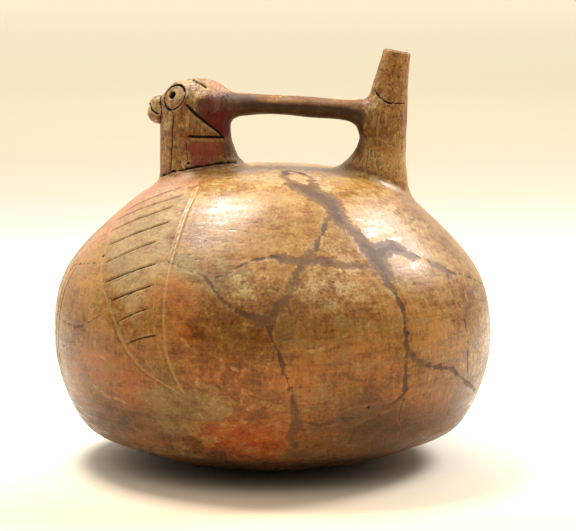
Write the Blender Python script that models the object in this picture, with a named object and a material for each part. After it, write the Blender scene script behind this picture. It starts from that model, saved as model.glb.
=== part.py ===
"""Falcon effigy bottle: a round fired-clay bottle with a falcon's head, a bridge and a pouring spout.

The bottle stands on z = 0 and its axis is Z. The falcon looks along -X and the spout stands on the +X side,
so the head, the bridge and the spout share the XZ plane, which is the bottle's plane of symmetry. The body is
a hollow shell, the neck under the head is hollow into it, and the spout's bore is the one way in.
"""
import math

import bmesh
import bpy
import numpy as np
from mathutils import Vector
from mathutils.bvhtree import BVHTree

MM = 0.001

# Body: its widest radius, the height of its crown, the flat it stands on and its wall
BODY_RADIUS = 90.0 * MM
BODY_HEIGHT = 120.9 * MM
BASE_RADIUS = 29.0 * MM
WALL = 5.0 * MM
# Outline of the body between its flat and its crown: shares of its radius and of its height
BODY_SHAPE = (
    (0.560, 0.033), (0.745, 0.084), (0.860, 0.127), (0.967, 0.281), (1.000, 0.453),
    (0.946, 0.630), (0.731, 0.819), (0.516, 0.939), (0.268, 0.985),
)

# Neck and head: a closed oval tube that rises from the shoulder
NECK_OFFSET = 31.5 * MM
NECK_LENGTH = 29.0 * MM
NECK_WIDTH = 26.0 * MM
NECK_WALL = 5.0 * MM
HEAD_RISE = 35.1 * MM
NECK_COLLAR = 6.5 * MM
# Rings of the head: shares of its rise above the crown, then how far the front, the back and the sides reach
HEAD_SHAPE = (
    (0.035, 1.00, 1.34, 1.10), (0.11, 1.00, 1.18, 1.03), (0.26, 0.99, 1.05, 1.00), (0.41, 0.99, 1.00, 1.00),
    (0.56, 0.99, 1.01, 1.00), (0.69, 0.97, 1.02, 0.99), (0.80, 0.91, 0.98, 0.94), (0.885, 0.74, 0.86, 0.82),
    (0.945, 0.50, 0.67, 0.62), (0.985, 0.22, 0.40, 0.36),
)

# Features of the head, measured from the neck's centre line and from the crown
BEAK_RADIUS = 5.7 * MM
BEAK_FORWARD = 13.4 * MM
BEAK_RISE = 22.6 * MM
EYE_RADIUS = 5.4 * MM
EYE_RIM = 0.7 * MM
EYE_FORWARD = 8.4 * MM
EYE_SPREAD = 8.6 * MM
EYE_RISE = 28.2 * MM
EYE_TURN_DEG = 49.0
EYE_LIFT_DEG = 23.5
PUPIL_RADIUS = 1.35 * MM
PUPIL_DEPTH = 1.9 * MM
CHEEK_RADIUS = 6.2 * MM
CHEEK_BACK = 4.7 * MM
CHEEK_OUT = 8.4 * MM
CHEEK_RISE = 26.0 * MM

# Spout: its centre line at the shoulder and at the lip, its lip and the clay around its bore
SPOUT_OFFSET = 44.6 * MM
SPOUT_LEAN = 6.1 * MM
SPOUT_RISE = 46.4 * MM
LIP_RADIUS = 5.45 * MM
LIP_WALL = 1.4 * MM
LIP_TILT_DEG = 10.5
SPOUT_RADIUS = 9.9 * MM
SPOUT_FLARE = 13.0 * MM
BORE_RADIUS = 6.8 * MM

# Bridge: the strap that joins the back of the head to the spout
BRIDGE_HEIGHT = 8.2 * MM
BRIDGE_WIDTH = 13.0 * MM
BRIDGE_RISE_AT_HEAD = 25.3 * MM
BRIDGE_RISE_AT_SPOUT = 20.8 * MM
BRIDGE_BOW = 0.6 * MM

# Carving: the width and depth of every incised line, and how far apart its cuts are on the body and the head
GROOVE_WIDTH = 1.2 * MM
GROOVE_DEPTH = 0.8 * MM
BODY_CARVING_STEP = 8.0 * MM
HEAD_CARVING_STEP = 5.0 * MM
FEATHERS = 9
FEATHER_GAP_DEG = 1.5
BREAST_LINE_DEG = 13.0

# Fineness of the round bodies, of the ovals of the head and the spout, and of the smaller ovals
BODY_SEGMENTS = 60
CHAMBER_SEGMENTS = 40
OVAL_SEGMENTS = 24
SMALL_SEGMENTS = 16
PUPIL_SEGMENTS = 10


def smooth_curve(points, steps):
    """Return points along a centripetal curve that passes through the given points."""
    points = [np.array(point, dtype=float) for point in points]
    first = 2 * points[0] - points[1]
    last = 2 * points[-1] - points[-2]
    line = [first, *points, last]
    curve = []
    for a, b, c, d in zip(line, line[1:], line[2:], line[3:]):
        t1 = math.sqrt(np.linalg.norm(b - a))
        t2 = t1 + math.sqrt(np.linalg.norm(c - b))
        t3 = t2 + math.sqrt(np.linalg.norm(d - c))
        for step in range(steps):
            t = t1 + (t2 - t1) * step / steps
            ab = (t1 - t) / t1 * a + t / t1 * b
            bc = (t2 - t) / (t2 - t1) * b + (t - t1) / (t2 - t1) * c
            cd = (t3 - t) / (t3 - t2) * c + (t - t2) / (t3 - t2) * d
            abc = (t2 - t) / t2 * ab + t / t2 * bc
            bcd = (t3 - t) / (t3 - t1) * bc + (t - t1) / (t3 - t1) * cd
            curve.append((t2 - t) / (t2 - t1) * abc + (t - t1) / (t2 - t1) * bcd)
    curve.append(points[-1])
    return curve


def body_outline(steps):
    """Return the body's outer outline as (radius, height), from the rim of its flat up to the crown."""
    shape = [(share * BODY_RADIUS, rise * BODY_HEIGHT) for share, rise in BODY_SHAPE]
    return smooth_curve([(BASE_RADIUS, 0.0), *shape, (0.0, BODY_HEIGHT)], steps)


def outline_height(radius):
    """Return the height of the body's upper surface at this distance from the axis."""
    outline = np.array(body_outline(8))
    widest = int(outline[:, 0].argmax())
    upper = outline[widest:][::-1]
    return float(np.interp(radius, upper[:, 0], upper[:, 1]))


def outline_radius(height):
    """Return the body's radius at this height."""
    outline = np.array(body_outline(8))
    return float(np.interp(height, outline[:, 1], outline[:, 0]))


def inset_outline(outline, distance):
    """Return the outline moved inwards by this distance, closed on the axis at both ends."""
    closed = [np.array((0.0, outline[0][1])), *outline]
    moved = []
    for i, point in enumerate(closed):
        before = closed[max(i - 1, 0)]
        after = closed[min(i + 1, len(closed) - 1)]
        along = (after - before) / np.linalg.norm(after - before)
        moved.append(point + distance * np.array((-along[1], along[0])))
    moved[0] = np.array((0.0, closed[0][1] + distance))
    moved[-1] = np.array((0.0, closed[-1][1] - distance))
    return moved


def new_object(name, mesh_builder, guide=True):
    """Link an object that holds the built mesh; a guide only shapes another object."""
    mesh = bpy.data.meshes.new(name)
    bmesh.ops.recalc_face_normals(mesh_builder, faces=mesh_builder.faces[:])
    mesh_builder.to_mesh(mesh)
    mesh_builder.free()
    made = bpy.data.objects.new(name, mesh)
    bpy.context.scene.collection.objects.link(made)
    made.hide_render = guide
    if guide:
        made.display_type = 'WIRE'
        made.hide_set(True)
    return made


def skin_rings(builder, rings, closed=False):
    """Join rings of equal length with quads, then close the two ends or join the last ring to the first."""
    loops = [[builder.verts.new(point) for point in ring] for ring in rings]
    pairs = list(zip(loops, loops[1:]))
    if closed:
        pairs.append((loops[-1], loops[0]))
    for lower, upper in pairs:
        for i in range(len(lower)):
            j = (i + 1) % len(lower)
            builder.faces.new((lower[i], lower[j], upper[j], upper[i]))
    if not closed:
        builder.faces.new(loops[0][::-1])
        builder.faces.new(loops[-1])


def turned_solid(name, outline, segments, guide=True):
    """Turn an outline of (radius, height) that starts and ends on the axis into a closed solid."""
    builder = bmesh.new()
    bottom = builder.verts.new((0.0, 0.0, outline[0][1]))
    top = builder.verts.new((0.0, 0.0, outline[-1][1]))
    angles = [2 * math.pi * i / segments for i in range(segments)]
    rings = []
    for radius, height in outline[1:-1]:
        ring = [Vector((radius * math.cos(angle), radius * math.sin(angle), height)) for angle in angles]
        rings.append([builder.verts.new(point) for point in ring])
    for lower, upper in zip(rings, rings[1:]):
        for i in range(segments):
            j = (i + 1) % segments
            builder.faces.new((lower[i], lower[j], upper[j], upper[i]))
    for i in range(segments):
        j = (i + 1) % segments
        builder.faces.new((bottom, rings[0][j], rings[0][i]))
        builder.faces.new((top, rings[-1][i], rings[-1][j]))
    return new_object(name, builder, guide)


def oval(height, left, right, half_width, segments, tilt_deg=0.0):
    """Return an oval ring that reaches from left to right along X, tilted about Y through its centre."""
    centre = (left + right) / 2
    half_length = (right - left) / 2
    ring = []
    for i in range(segments):
        angle = 2 * math.pi * i / segments
        x = half_length * math.cos(angle)
        fall = x * math.tan(math.radians(tilt_deg))
        ring.append(Vector((centre + x, half_width * math.sin(angle), height - fall)))
    return ring


def lofted_solid(name, rings):
    """Skin a stack of rings into a closed solid."""
    builder = bmesh.new()
    skin_rings(builder, rings)
    return new_object(name, builder)


def ball(name, centre, radii):
    """Return an ellipsoid."""
    builder = bmesh.new()
    bmesh.ops.create_uvsphere(builder, u_segments=14, v_segments=9, radius=1.0)
    for vert in builder.verts:
        vert.co = Vector([c + r * v for c, r, v in zip(centre, radii, vert.co)])
    return new_object(name, builder)


def make_body():
    """Return the solid body, before its chamber is cut."""
    outline = body_outline(2)
    return turned_solid("falcon_bottle", [(0.0, 0.0), *outline], BODY_SEGMENTS, guide=False)


def make_chamber():
    """Return the space inside the body."""
    return turned_solid("chamber", inset_outline(body_outline(1), WALL), CHAMBER_SEGMENTS)


def neck_seat():
    """Return the height at which the neck's front meets the shoulder."""
    return outline_height(NECK_OFFSET + NECK_LENGTH / 2)


def make_neck_and_head():
    """Return the neck with its spreading collar and the rounded head, as one solid."""
    seat = neck_seat()
    half = NECK_LENGTH / 2
    front = -NECK_OFFSET - half
    back = -NECK_OFFSET + half
    side = NECK_WIDTH / 2
    rings = [
        oval(seat - WALL / 2, front - 0.3 * NECK_COLLAR, back + 1.5 * NECK_COLLAR, side + 2.0 * NECK_COLLAR,
             OVAL_SEGMENTS),
        oval(seat + 0.12 * (BODY_HEIGHT - seat), front - 0.1 * NECK_COLLAR, back + 1.5 * NECK_COLLAR,
             side + 1.5 * NECK_COLLAR, OVAL_SEGMENTS),
        oval(seat + 0.55 * (BODY_HEIGHT - seat), front, back + 1.4 * NECK_COLLAR, side + 0.85 * NECK_COLLAR,
             OVAL_SEGMENTS),
        oval(BODY_HEIGHT - 0.02 * HEAD_RISE, front, back + NECK_COLLAR, side + 0.35 * NECK_COLLAR,
             OVAL_SEGMENTS),
    ]
    for rise, ahead, behind, across in HEAD_SHAPE:
        rings.append(oval(BODY_HEIGHT + rise * HEAD_RISE, -NECK_OFFSET - ahead * half,
                          -NECK_OFFSET + behind * half, across * side, OVAL_SEGMENTS))
    head_top = BODY_HEIGHT + HEAD_RISE
    rings.append(oval(head_top, -NECK_OFFSET - 0.02 * half, -NECK_OFFSET + 0.20 * half, 0.12 * side,
                      OVAL_SEGMENTS))
    return lofted_solid("neck_and_head", rings)


def make_neck_hollow():
    """Return the space inside the neck, which opens into the chamber."""
    half = NECK_LENGTH / 2 - NECK_WALL
    side = NECK_WIDTH / 2 - NECK_WALL
    foot = neck_seat() - 2 * WALL
    top = BODY_HEIGHT + HEAD_RISE - 1.4 * NECK_WALL
    rings = []
    for share, width in ((0.0, 1.0), (0.80, 1.0), (0.93, 0.75), (1.0, 0.30)):
        height = foot + share * (top - foot)
        rings.append(oval(height, -NECK_OFFSET - width * half, -NECK_OFFSET + width * half, width * side,
                          SMALL_SEGMENTS))
    return lofted_solid("neck_hollow", rings)


def spout_centre(rise):
    """Return the X of the spout's centre line at this share of its height above the crown."""
    return SPOUT_OFFSET + SPOUT_LEAN * max(rise, 0.0) ** 1.6


def make_spout():
    """Return the tapering, outward-leaning spout, whose foot spreads along the shoulder."""
    seat = outline_height(SPOUT_OFFSET + SPOUT_RADIUS)
    rings = [
        oval(seat - WALL / 2, SPOUT_OFFSET - SPOUT_RADIUS - 1.6 * SPOUT_FLARE,
             SPOUT_OFFSET + 1.12 * SPOUT_RADIUS, 1.10 * SPOUT_RADIUS, OVAL_SEGMENTS),
    ]
    shape = (
        (-0.11, 0.95, 1.07), (-0.04, 0.60, 1.03), (0.02, 0.39, 1.00), (0.09, 0.19, 0.98),
        (0.18, 0.05, 0.95), (0.27, 0.00, 0.92), (0.45, 0.00, 0.865), (0.62, 0.00, 0.765), (0.80, 0.00, 0.645),
        (0.965, 0.00, 0.55),
    )
    for rise, flare, radius in shape:
        centre = spout_centre(rise)
        tilt = LIP_TILT_DEG * max(rise, 0.0)
        half = radius * SPOUT_RADIUS
        rings.append(oval(BODY_HEIGHT + rise * SPOUT_RISE, centre - half - flare * SPOUT_FLARE, centre + half,
                          half, OVAL_SEGMENTS, tilt))
    lip = LIP_RADIUS - 0.25 * LIP_WALL
    centre = spout_centre(1.0)
    rings.append(oval(BODY_HEIGHT + SPOUT_RISE, centre - lip, centre + lip, lip, OVAL_SEGMENTS, LIP_TILT_DEG))
    return lofted_solid("spout", rings)


def make_bore():
    """Return the bore of the spout, from above its lip down into the chamber."""
    seat = outline_height(SPOUT_OFFSET + SPOUT_RADIUS)
    mouth = LIP_RADIUS - LIP_WALL
    foot = SPOUT_OFFSET - 0.2 * SPOUT_LEAN
    shape = (
        (seat - 2 * WALL, 1.18, 1.50, 1.25, 0.0),
        (BODY_HEIGHT - 0.22 * SPOUT_RISE, 1.12, 1.47, 1.25, 0.0),
        (BODY_HEIGHT + 0.09 * SPOUT_RISE, 1.00, 1.375, 1.08, 0.0),
        (BODY_HEIGHT + 0.42 * SPOUT_RISE, 0.55, 1.38, 0.94, 0.5 * LIP_TILT_DEG),
    )
    rings = []
    for height, inner, outer, wide, tilt in shape:
        rings.append(oval(height, foot - inner * BORE_RADIUS, foot + outer * BORE_RADIUS, wide * BORE_RADIUS,
                          OVAL_SEGMENTS, tilt))
    centre = spout_centre(1.0)
    above = BODY_HEIGHT + SPOUT_RISE + LIP_WALL
    rings.append(oval(above, centre - mouth, centre + mouth, mouth, OVAL_SEGMENTS, LIP_TILT_DEG))
    return lofted_solid("bore", rings)


def make_bridge():
    """Return the strap between the head and the spout, thicker where it runs into each of them."""
    start = -NECK_OFFSET + 0.55 * NECK_LENGTH / 2
    end = spout_centre(0.45)
    shape = (
        (0.00, 1.30, 1.30), (0.09, 1.26, 1.15), (0.16, 1.14, 1.04), (0.28, 1.00, 1.00), (0.55, 1.00, 1.00),
        (0.74, 1.00, 1.00), (0.79, 1.10, 1.03), (0.825, 1.34, 1.08), (0.85, 1.75, 1.14), (1.00, 2.10, 1.22),
    )
    rings = []
    for share, thick, wide in shape:
        x = start + share * (end - start)
        rise = BRIDGE_RISE_AT_HEAD + share * (BRIDGE_RISE_AT_SPOUT - BRIDGE_RISE_AT_HEAD)
        height = BODY_HEIGHT + rise + BRIDGE_BOW * math.sin(math.pi * share)
        top = height + BRIDGE_HEIGHT / 2 * (1 + 0.25 * (thick - 1))
        bottom = top - thick * BRIDGE_HEIGHT
        ring = []
        for i in range(SMALL_SEGMENTS):
            angle = 2 * math.pi * i / SMALL_SEGMENTS
            y = wide * BRIDGE_WIDTH / 2 * math.cos(angle)
            z = (top + bottom) / 2 + (top - bottom) / 2 * math.sin(angle)
            ring.append(Vector((x, y, z)))
        rings.append(ring)
    return lofted_solid("bridge", rings)


def make_beak():
    """Return the rounded beak."""
    centre = (-NECK_OFFSET - BEAK_FORWARD, 0.0, BODY_HEIGHT + BEAK_RISE)
    return ball("beak", centre, (1.04 * BEAK_RADIUS, 0.95 * BEAK_RADIUS, BEAK_RADIUS))


def make_cheek(side):
    """Return the rounded swelling at the back of one side of the head."""
    centre = (-NECK_OFFSET + CHEEK_BACK, side * CHEEK_OUT, BODY_HEIGHT + CHEEK_RISE)
    return ball("cheek", centre, (CHEEK_RADIUS, CHEEK_RADIUS, 0.95 * CHEEK_RADIUS))


def eye_frame(side):
    """Return the centre of one eye, its outward normal and the two directions across it."""
    turn = math.radians(EYE_TURN_DEG)
    lift = math.radians(EYE_LIFT_DEG)
    normal = Vector((-math.cos(turn), side * math.sin(turn), math.tan(lift))).normalized()
    centre = Vector((-NECK_OFFSET - EYE_FORWARD, side * EYE_SPREAD, BODY_HEIGHT + EYE_RISE))
    across = normal.cross(Vector((0, 0, 1))).normalized()
    up = across.cross(normal).normalized()
    return centre, normal, across, up


def make_eye(side):
    """Return the flat raised patch that carries one incised eye."""
    centre, normal, across, up = eye_frame(side)
    rim = EYE_RADIUS + EYE_RIM
    rings = []
    face = rim - 0.5 * EYE_RIM
    for radius, out in ((rim, -0.6 * EYE_RADIUS), (rim, -0.3 * EYE_RIM), (face, 0.35 * EYE_RIM)):
        ring = []
        for i in range(OVAL_SEGMENTS):
            angle = 2 * math.pi * i / OVAL_SEGMENTS
            ring.append(centre + radius * (math.cos(angle) * across + math.sin(angle) * up) + out * normal)
        rings.append(ring)
    return lofted_solid("eye", rings)


def make_pupil(side):
    """Return the drill that sinks one pupil, set ahead of the eye's centre and tapering inwards."""
    centre, normal, across, up = eye_frame(side)
    spot = centre + 0.12 * EYE_RADIUS * up - side * 0.18 * EYE_RADIUS * across
    rings = []
    for radius, out in ((0.7 * PUPIL_RADIUS, -PUPIL_DEPTH), (PUPIL_RADIUS, EYE_RIM)):
        ring = []
        for i in range(PUPIL_SEGMENTS):
            angle = 2 * math.pi * i / PUPIL_SEGMENTS
            ring.append(spot + radius * (math.cos(angle) * across + math.sin(angle) * up) + out * normal)
        rings.append(ring)
    return lofted_solid("pupil", rings)


def groove(builder, path, normals, closed=False):
    """Add a V-shaped cutter along a path on the surface; an open groove rises out of the clay at its ends."""
    above = 0.6 * GROOVE_WIDTH
    spread = GROOVE_WIDTH / 2 * (1 + above / GROOVE_DEPTH)
    rings = []
    for i, (point, normal) in enumerate(zip(path, normals)):
        before = path[i - 1] if i or closed else path[0]
        after = path[(i + 1) % len(path)] if i + 1 < len(path) or closed else path[-1]
        side = (after - before).normalized().cross(normal).normalized()
        depth = GROOVE_DEPTH
        if not closed and i in (0, len(path) - 1):
            depth = -0.2 * above
        rings.append([point - depth * normal, point + above * normal + spread * side,
                      point + above * normal - spread * side])
    skin_rings(builder, rings, closed)


def on_surface(tree, start, aim):
    """Return the point and the normal where a ray from start along aim meets the surface."""
    point, normal, _, _ = tree.ray_cast(start, aim)
    return point, normal


def even_path(points, spacing):
    """Return points along a polyline, about this far apart, with one close to each end."""
    points = np.array(points, dtype=float)
    lengths = np.r_[0.0, np.cumsum(np.linalg.norm(np.diff(points, axis=0), axis=1))]
    count = max(2, round(lengths[-1] / spacing))
    stops = [0.0, 0.12 / count, *(np.arange(1, count) / count), 1 - 0.12 / count, 1.0]
    columns = [np.interp(np.array(stops) * lengths[-1], lengths, column) for column in points.T]
    return np.stack(columns, axis=1)


def carve_on_body(builder, tree, points, side):
    """Add a groove through points given as (degrees from the falcon's breast, share of the body's height)."""
    path = []
    normals = []
    placed = []
    for turn, share in smooth_curve(points, 6):
        angle = math.radians(turn)
        radius = outline_radius(share * BODY_HEIGHT)
        placed.append((-radius * math.cos(angle), side * radius * math.sin(angle), share * BODY_HEIGHT))
    for x, y, z in even_path(placed, BODY_CARVING_STEP):
        outwards = Vector((x, y, z - 0.45 * BODY_HEIGHT)).normalized()
        point, normal = on_surface(tree, Vector((x, y, z)) + 4 * WALL * outwards, -outwards)
        path.append(point)
        normals.append(normal)
    groove(builder, path, normals)


def wing_edges():
    """Return the wing's leading edge, the ends of its feathers and its trailing edge, down to the tip."""
    tip = (67.5, 0.333)
    leading = ((8.0, 0.845), (14.0, 0.815), (26.0, 0.752), (35.3, 0.668), (46.2, 0.547), (53.5, 0.430), tip)
    inner = ((36.0, 0.950), (43.5, 0.900), (50.5, 0.800), (55.5, 0.665), (59.3, 0.520), (66.5, 0.344))
    trailing = ((41.0, 0.955), (50.5, 0.914), (55.8, 0.831), (59.8, 0.717), (61.6, 0.595), (62.8, 0.471), tip)
    return leading, inner, trailing


def carve_wing(fronts, backs, feathers, tree, side):
    """Add the grooves of one folded wing: two outlines, and feathers that slant up from the leading edge."""
    leading, inner, trailing = wing_edges()
    carve_on_body(fronts, tree, leading[1:], side)
    carve_on_body(backs, tree, trailing, side)
    front = np.array(smooth_curve(leading, 8))
    back = np.array(smooth_curve(inner, 8))
    for feather in range(FEATHERS):
        along = feather / FEATHERS
        drop = 0.39 * along + 0.47 * along ** 2
        start_height = front[0][1] - drop * (front[0][1] - front[-1][1]) + 0.006
        end_height = back[0][1] - drop * (back[0][1] - back[-1][1]) + 0.008
        start_turn = np.interp(-start_height, -front[:, 1], front[:, 0]) + FEATHER_GAP_DEG
        end_turn = np.interp(-end_height, -back[:, 1], back[:, 0])
        middle = (0.5 * (start_turn + end_turn), 0.5 * (start_height + end_height) + 0.004)
        carve_on_body(feathers, tree, ((start_turn, start_height), middle, (end_turn, end_height)), side)


def carve_on_head(builder, tree, points, side):
    """Add a groove on one side of the head, through shares of the neck's half length and the head's rise."""
    path = []
    normals = []
    placed = [(-NECK_OFFSET + x * NECK_LENGTH / 2, BODY_HEIGHT + rise * HEAD_RISE) for x, rise in points]
    for x, z in even_path(placed, HEAD_CARVING_STEP):
        start = Vector((x, side * 3 * NECK_WIDTH, z))
        point, normal = on_surface(tree, start, Vector((0, -side, 0)))
        path.append(point)
        normals.append(normal)
    groove(builder, path, normals)


def carve_ring(builder, tree, side, radius):
    """Add a ring-shaped groove around one eye."""
    centre, normal, across, up = eye_frame(side)
    path = []
    normals = []
    for i in range(OVAL_SEGMENTS):
        angle = 2 * math.pi * (i + 0.5) / OVAL_SEGMENTS
        spot = centre + radius * (math.cos(angle) * across + math.sin(angle) * up)
        point, _ = on_surface(tree, spot + EYE_RADIUS * normal, -normal)
        path.append(point)
        normals.append(normal)
    groove(builder, path, normals, closed=True)


def carve_mouth(builder, tree):
    """Add the mouth: one groove that runs back and down from the beak's tip on both sides."""
    centre = Vector((-NECK_OFFSET - BEAK_FORWARD, 0.0, BODY_HEIGHT + BEAK_RISE))
    path = []
    normals = []
    for turn in (-82, -78, -55, -28, 0, 28, 55, 78, 82):
        angle = math.radians(turn)
        drop = 0.42 - 0.75 * abs(math.sin(angle)) ** 1.5
        aim = Vector((-math.cos(angle), math.sin(angle), drop)).normalized()
        point, normal = on_surface(tree, centre + 3 * BEAK_RADIUS * aim, -aim)
        path.append(point)
        normals.append(normal)
    groove(builder, path, normals)


def surface_tree(shape):
    """Return a search tree of the object as its modifiers shape it so far."""
    bpy.context.view_layer.update()
    return BVHTree.FromObject(shape, bpy.context.evaluated_depsgraph_get())


def combine(target, operand, operation):
    """Add a Boolean modifier that joins the operand to the target or cuts it away."""
    modifier = target.modifiers.new(operation.title() + " " + operand.name, 'BOOLEAN')
    modifier.operation = operation
    modifier.solver = 'EXACT'
    modifier.object = operand


def carve(bottle):
    """Cut the incised lines: grooves that meet each other are in different cutters."""
    tree = surface_tree(bottle)
    fronts = bmesh.new()
    backs = bmesh.new()
    feathers = bmesh.new()
    face = bmesh.new()
    for side in (-1, 1):
        carve_wing(fronts, backs, feathers, tree, side)
        breast_line = ((BREAST_LINE_DEG, 0.70), (BREAST_LINE_DEG, 0.40), (1.15 * BREAST_LINE_DEG, 0.15))
        carve_on_body(feathers, tree, breast_line, side)
        carve_ring(face, tree, side, EYE_RADIUS)
        throat = ((-0.58, 0.60), (-0.64, 0.45), (-0.65, 0.20), (-0.70, -0.03))
        jaw = ((-0.22, 0.72), (0.02, 0.62), (0.34, 0.51), (0.62, 0.42), (0.84, 0.32))
        panel_top = ((-0.19, 0.36), (0.78, 0.335))
        panel_front = ((-0.24, 0.30), (-0.16, 0.06))
        carve_on_head(face, tree, throat, side)
        carve_on_head(face, tree, jaw, side)
        carve_on_head(backs, tree, panel_top, side)
        carve_on_head(face, tree, panel_front, side)
    carve_mouth(face, tree)
    cutters = {"wing_fronts": fronts, "wing_backs": backs, "feathers": feathers, "face": face}
    for name, builder in cutters.items():
        combine(bottle, new_object(name, builder), 'DIFFERENCE')
    for side in (-1, 1):
        combine(bottle, make_pupil(side), 'DIFFERENCE')


def fired_clay():
    """Return the burnished, low-fired clay: warm tan, hardly glossy."""
    material = bpy.data.materials.new("fired_clay")
    material.use_nodes = True
    shader = material.node_tree.nodes["Principled BSDF"]
    shader.inputs["Base Color"].default_value = (0.36, 0.19, 0.085, 1.0)
    shader.inputs["Roughness"].default_value = 0.48
    shader.inputs["Metallic"].default_value = 0.0
    return material


def main():
    """Build the bottle."""
    for old in list(bpy.data.objects):
        bpy.data.objects.remove(old, do_unlink=True)
    bottle = make_body()
    added = [make_neck_and_head(), make_bridge(), make_spout(), make_beak()]
    for side in (-1, 1):
        added.append(make_cheek(side))
        added.append(make_eye(side))
    for shape in added:
        combine(bottle, shape, 'UNION')
    carve(bottle)
    for hollow in (make_chamber(), make_neck_hollow(), make_bore()):
        combine(bottle, hollow, 'DIFFERENCE')
    bottle.data.materials.append(fired_clay())
    bottle.data.shade_smooth()
    bottle.data.set_sharp_from_angle(angle=math.radians(35))


main()
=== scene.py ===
"""The falcon effigy bottle as it looks: a hand-built, burnished and mended bottle of low-fired clay.

The forms are built up ring by ring, as a potter adds coils, then fused, melded where they meet, and carved.
All sizes are in millimetres of the bottle, which UNIT turns to metres. The falcon looks along -X, the
spout stands on the +X side, and the camera stands on the -Y side.
"""

import logging
import math
from dataclasses import dataclass, field
from enum import Enum
from typing import Callable, Iterable, Sequence

import bpy
import numpy as np
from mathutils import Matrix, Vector, noise
from mathutils.bvhtree import BVHTree


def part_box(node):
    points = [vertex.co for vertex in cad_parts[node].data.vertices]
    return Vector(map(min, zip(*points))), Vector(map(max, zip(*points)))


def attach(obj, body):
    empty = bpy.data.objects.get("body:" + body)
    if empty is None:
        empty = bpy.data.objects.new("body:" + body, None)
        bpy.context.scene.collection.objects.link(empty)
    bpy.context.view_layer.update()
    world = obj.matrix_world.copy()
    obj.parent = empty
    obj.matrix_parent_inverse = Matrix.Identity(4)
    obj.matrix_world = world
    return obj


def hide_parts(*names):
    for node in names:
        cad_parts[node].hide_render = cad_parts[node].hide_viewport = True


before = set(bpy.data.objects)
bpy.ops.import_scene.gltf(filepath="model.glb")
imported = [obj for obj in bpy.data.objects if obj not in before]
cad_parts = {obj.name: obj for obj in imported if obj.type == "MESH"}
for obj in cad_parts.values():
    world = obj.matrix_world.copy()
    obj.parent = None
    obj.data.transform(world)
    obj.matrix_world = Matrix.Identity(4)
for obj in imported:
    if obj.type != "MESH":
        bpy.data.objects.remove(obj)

NODE = "falcon_bottle"
BODY_WIDTH = 180.0
LOW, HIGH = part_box(NODE)
# Metres of the scene for one millimetre of the bottle.
UNIT = (HIGH.x - LOW.x) / BODY_WIDTH
FOCUS_HEIGHT = 79.0
# How far lines and mends wander depends on this seed: without one, Blender takes the clock's time.
WANDER_SEED = 7
# The two sides of the plane of symmetry, by the sign of Y.
NEAR, FAR = -1, 1
# The columns of a form's table of rings.
START, END, HALF, SLOPE = 1, 2, 3, 4

log = logging.getLogger("falcon_bottle")

Points = np.ndarray


def smooth_curve(points: Sequence[Sequence[float]], steps: int) -> Points:
    """Draw a centripetal curve through points.

    Args:
        points: The points that the curve passes through, in any number of dimensions.
        steps: How many points to return for each stretch between two given ones.

    Returns:
        The curve's points, one per row.
    """
    given = [np.array(point, dtype=float) for point in points]
    line = [2 * given[0] - given[1], *given, 2 * given[-1] - given[-2]]
    curve = []
    for a, b, c, d in zip(line, line[1:], line[2:], line[3:]):
        t1 = math.sqrt(np.linalg.norm(b - a))
        t2 = t1 + math.sqrt(np.linalg.norm(c - b))
        t3 = t2 + math.sqrt(np.linalg.norm(d - c))
        for t in np.linspace(t1, t2, steps, endpoint=False):
            ab = (t1 - t) / t1 * a + t / t1 * b
            bc = (t2 - t) / (t2 - t1) * b + (t - t1) / (t2 - t1) * c
            cd = (t3 - t) / (t3 - t2) * c + (t - t2) / (t3 - t2) * d
            abc = (t2 - t) / t2 * ab + t / t2 * bc
            bcd = (t3 - t) / (t3 - t1) * bc + (t - t1) / (t3 - t1) * cd
            curve.append((t2 - t) / (t2 - t1) * abc + (t - t1) / (t2 - t1) * bcd)
    curve.append(given[-1])
    return np.array(curve)


def evenly(points: Points, spacing: float) -> Points:
    """Place points evenly along a polyline.

    Args:
        points: The polyline, one point per row.
        spacing: The distance between two new points, about.

    Returns:
        The new points, with the first and the last one kept.
    """
    lengths = np.r_[0.0, np.cumsum(np.linalg.norm(np.diff(points, axis=0), axis=1))]
    count = max(2, int(round(lengths[-1] / spacing)) + 1)
    stops = np.linspace(0.0, lengths[-1], count)
    return np.stack([np.interp(stops, lengths, column) for column in points.T], axis=1)


def soft_least(a: Points, b: Points, reach: float) -> Points:
    """Return the smaller of two distances, melded where they differ by less than the reach."""
    share = np.clip(0.5 + 0.5 * (b - a) / reach, 0.0, 1.0)
    return b * (1 - share) + a * share - reach * share * (1 - share)


def soft_most(a: Points, b: Points, reach: float) -> Points:
    """Return the larger of two distances, rounded where they differ by less than the reach."""
    return -soft_least(-a, -b, reach)


def ease(value: Points, low: float, high: float) -> Points:
    """Return 0 below low, 1 above high and a smooth rise between them."""
    share = np.clip((value - low) / (high - low), 0.0, 1.0)
    return share * share * (3 - 2 * share)


@dataclass(frozen=True)
class Ring:
    """One level of a form: where it is along the form, its two ends, half its width and its slope."""

    level: float
    start: float
    end: float
    half: float
    slope: float = 0.0


def deselect() -> None:
    """Leave edit mode and deselect every object, so that an operator only meets what is made next."""
    if bpy.context.object and bpy.context.object.mode != 'OBJECT':
        bpy.ops.object.mode_set(mode='OBJECT')
    bpy.ops.object.select_all(action='DESELECT')


def choose(piece: bpy.types.Object) -> None:
    """Make one object the only selected and the active one.

    Args:
        piece: The object.
    """
    deselect()
    piece.select_set(True)
    bpy.context.view_layer.objects.active = piece


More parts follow.
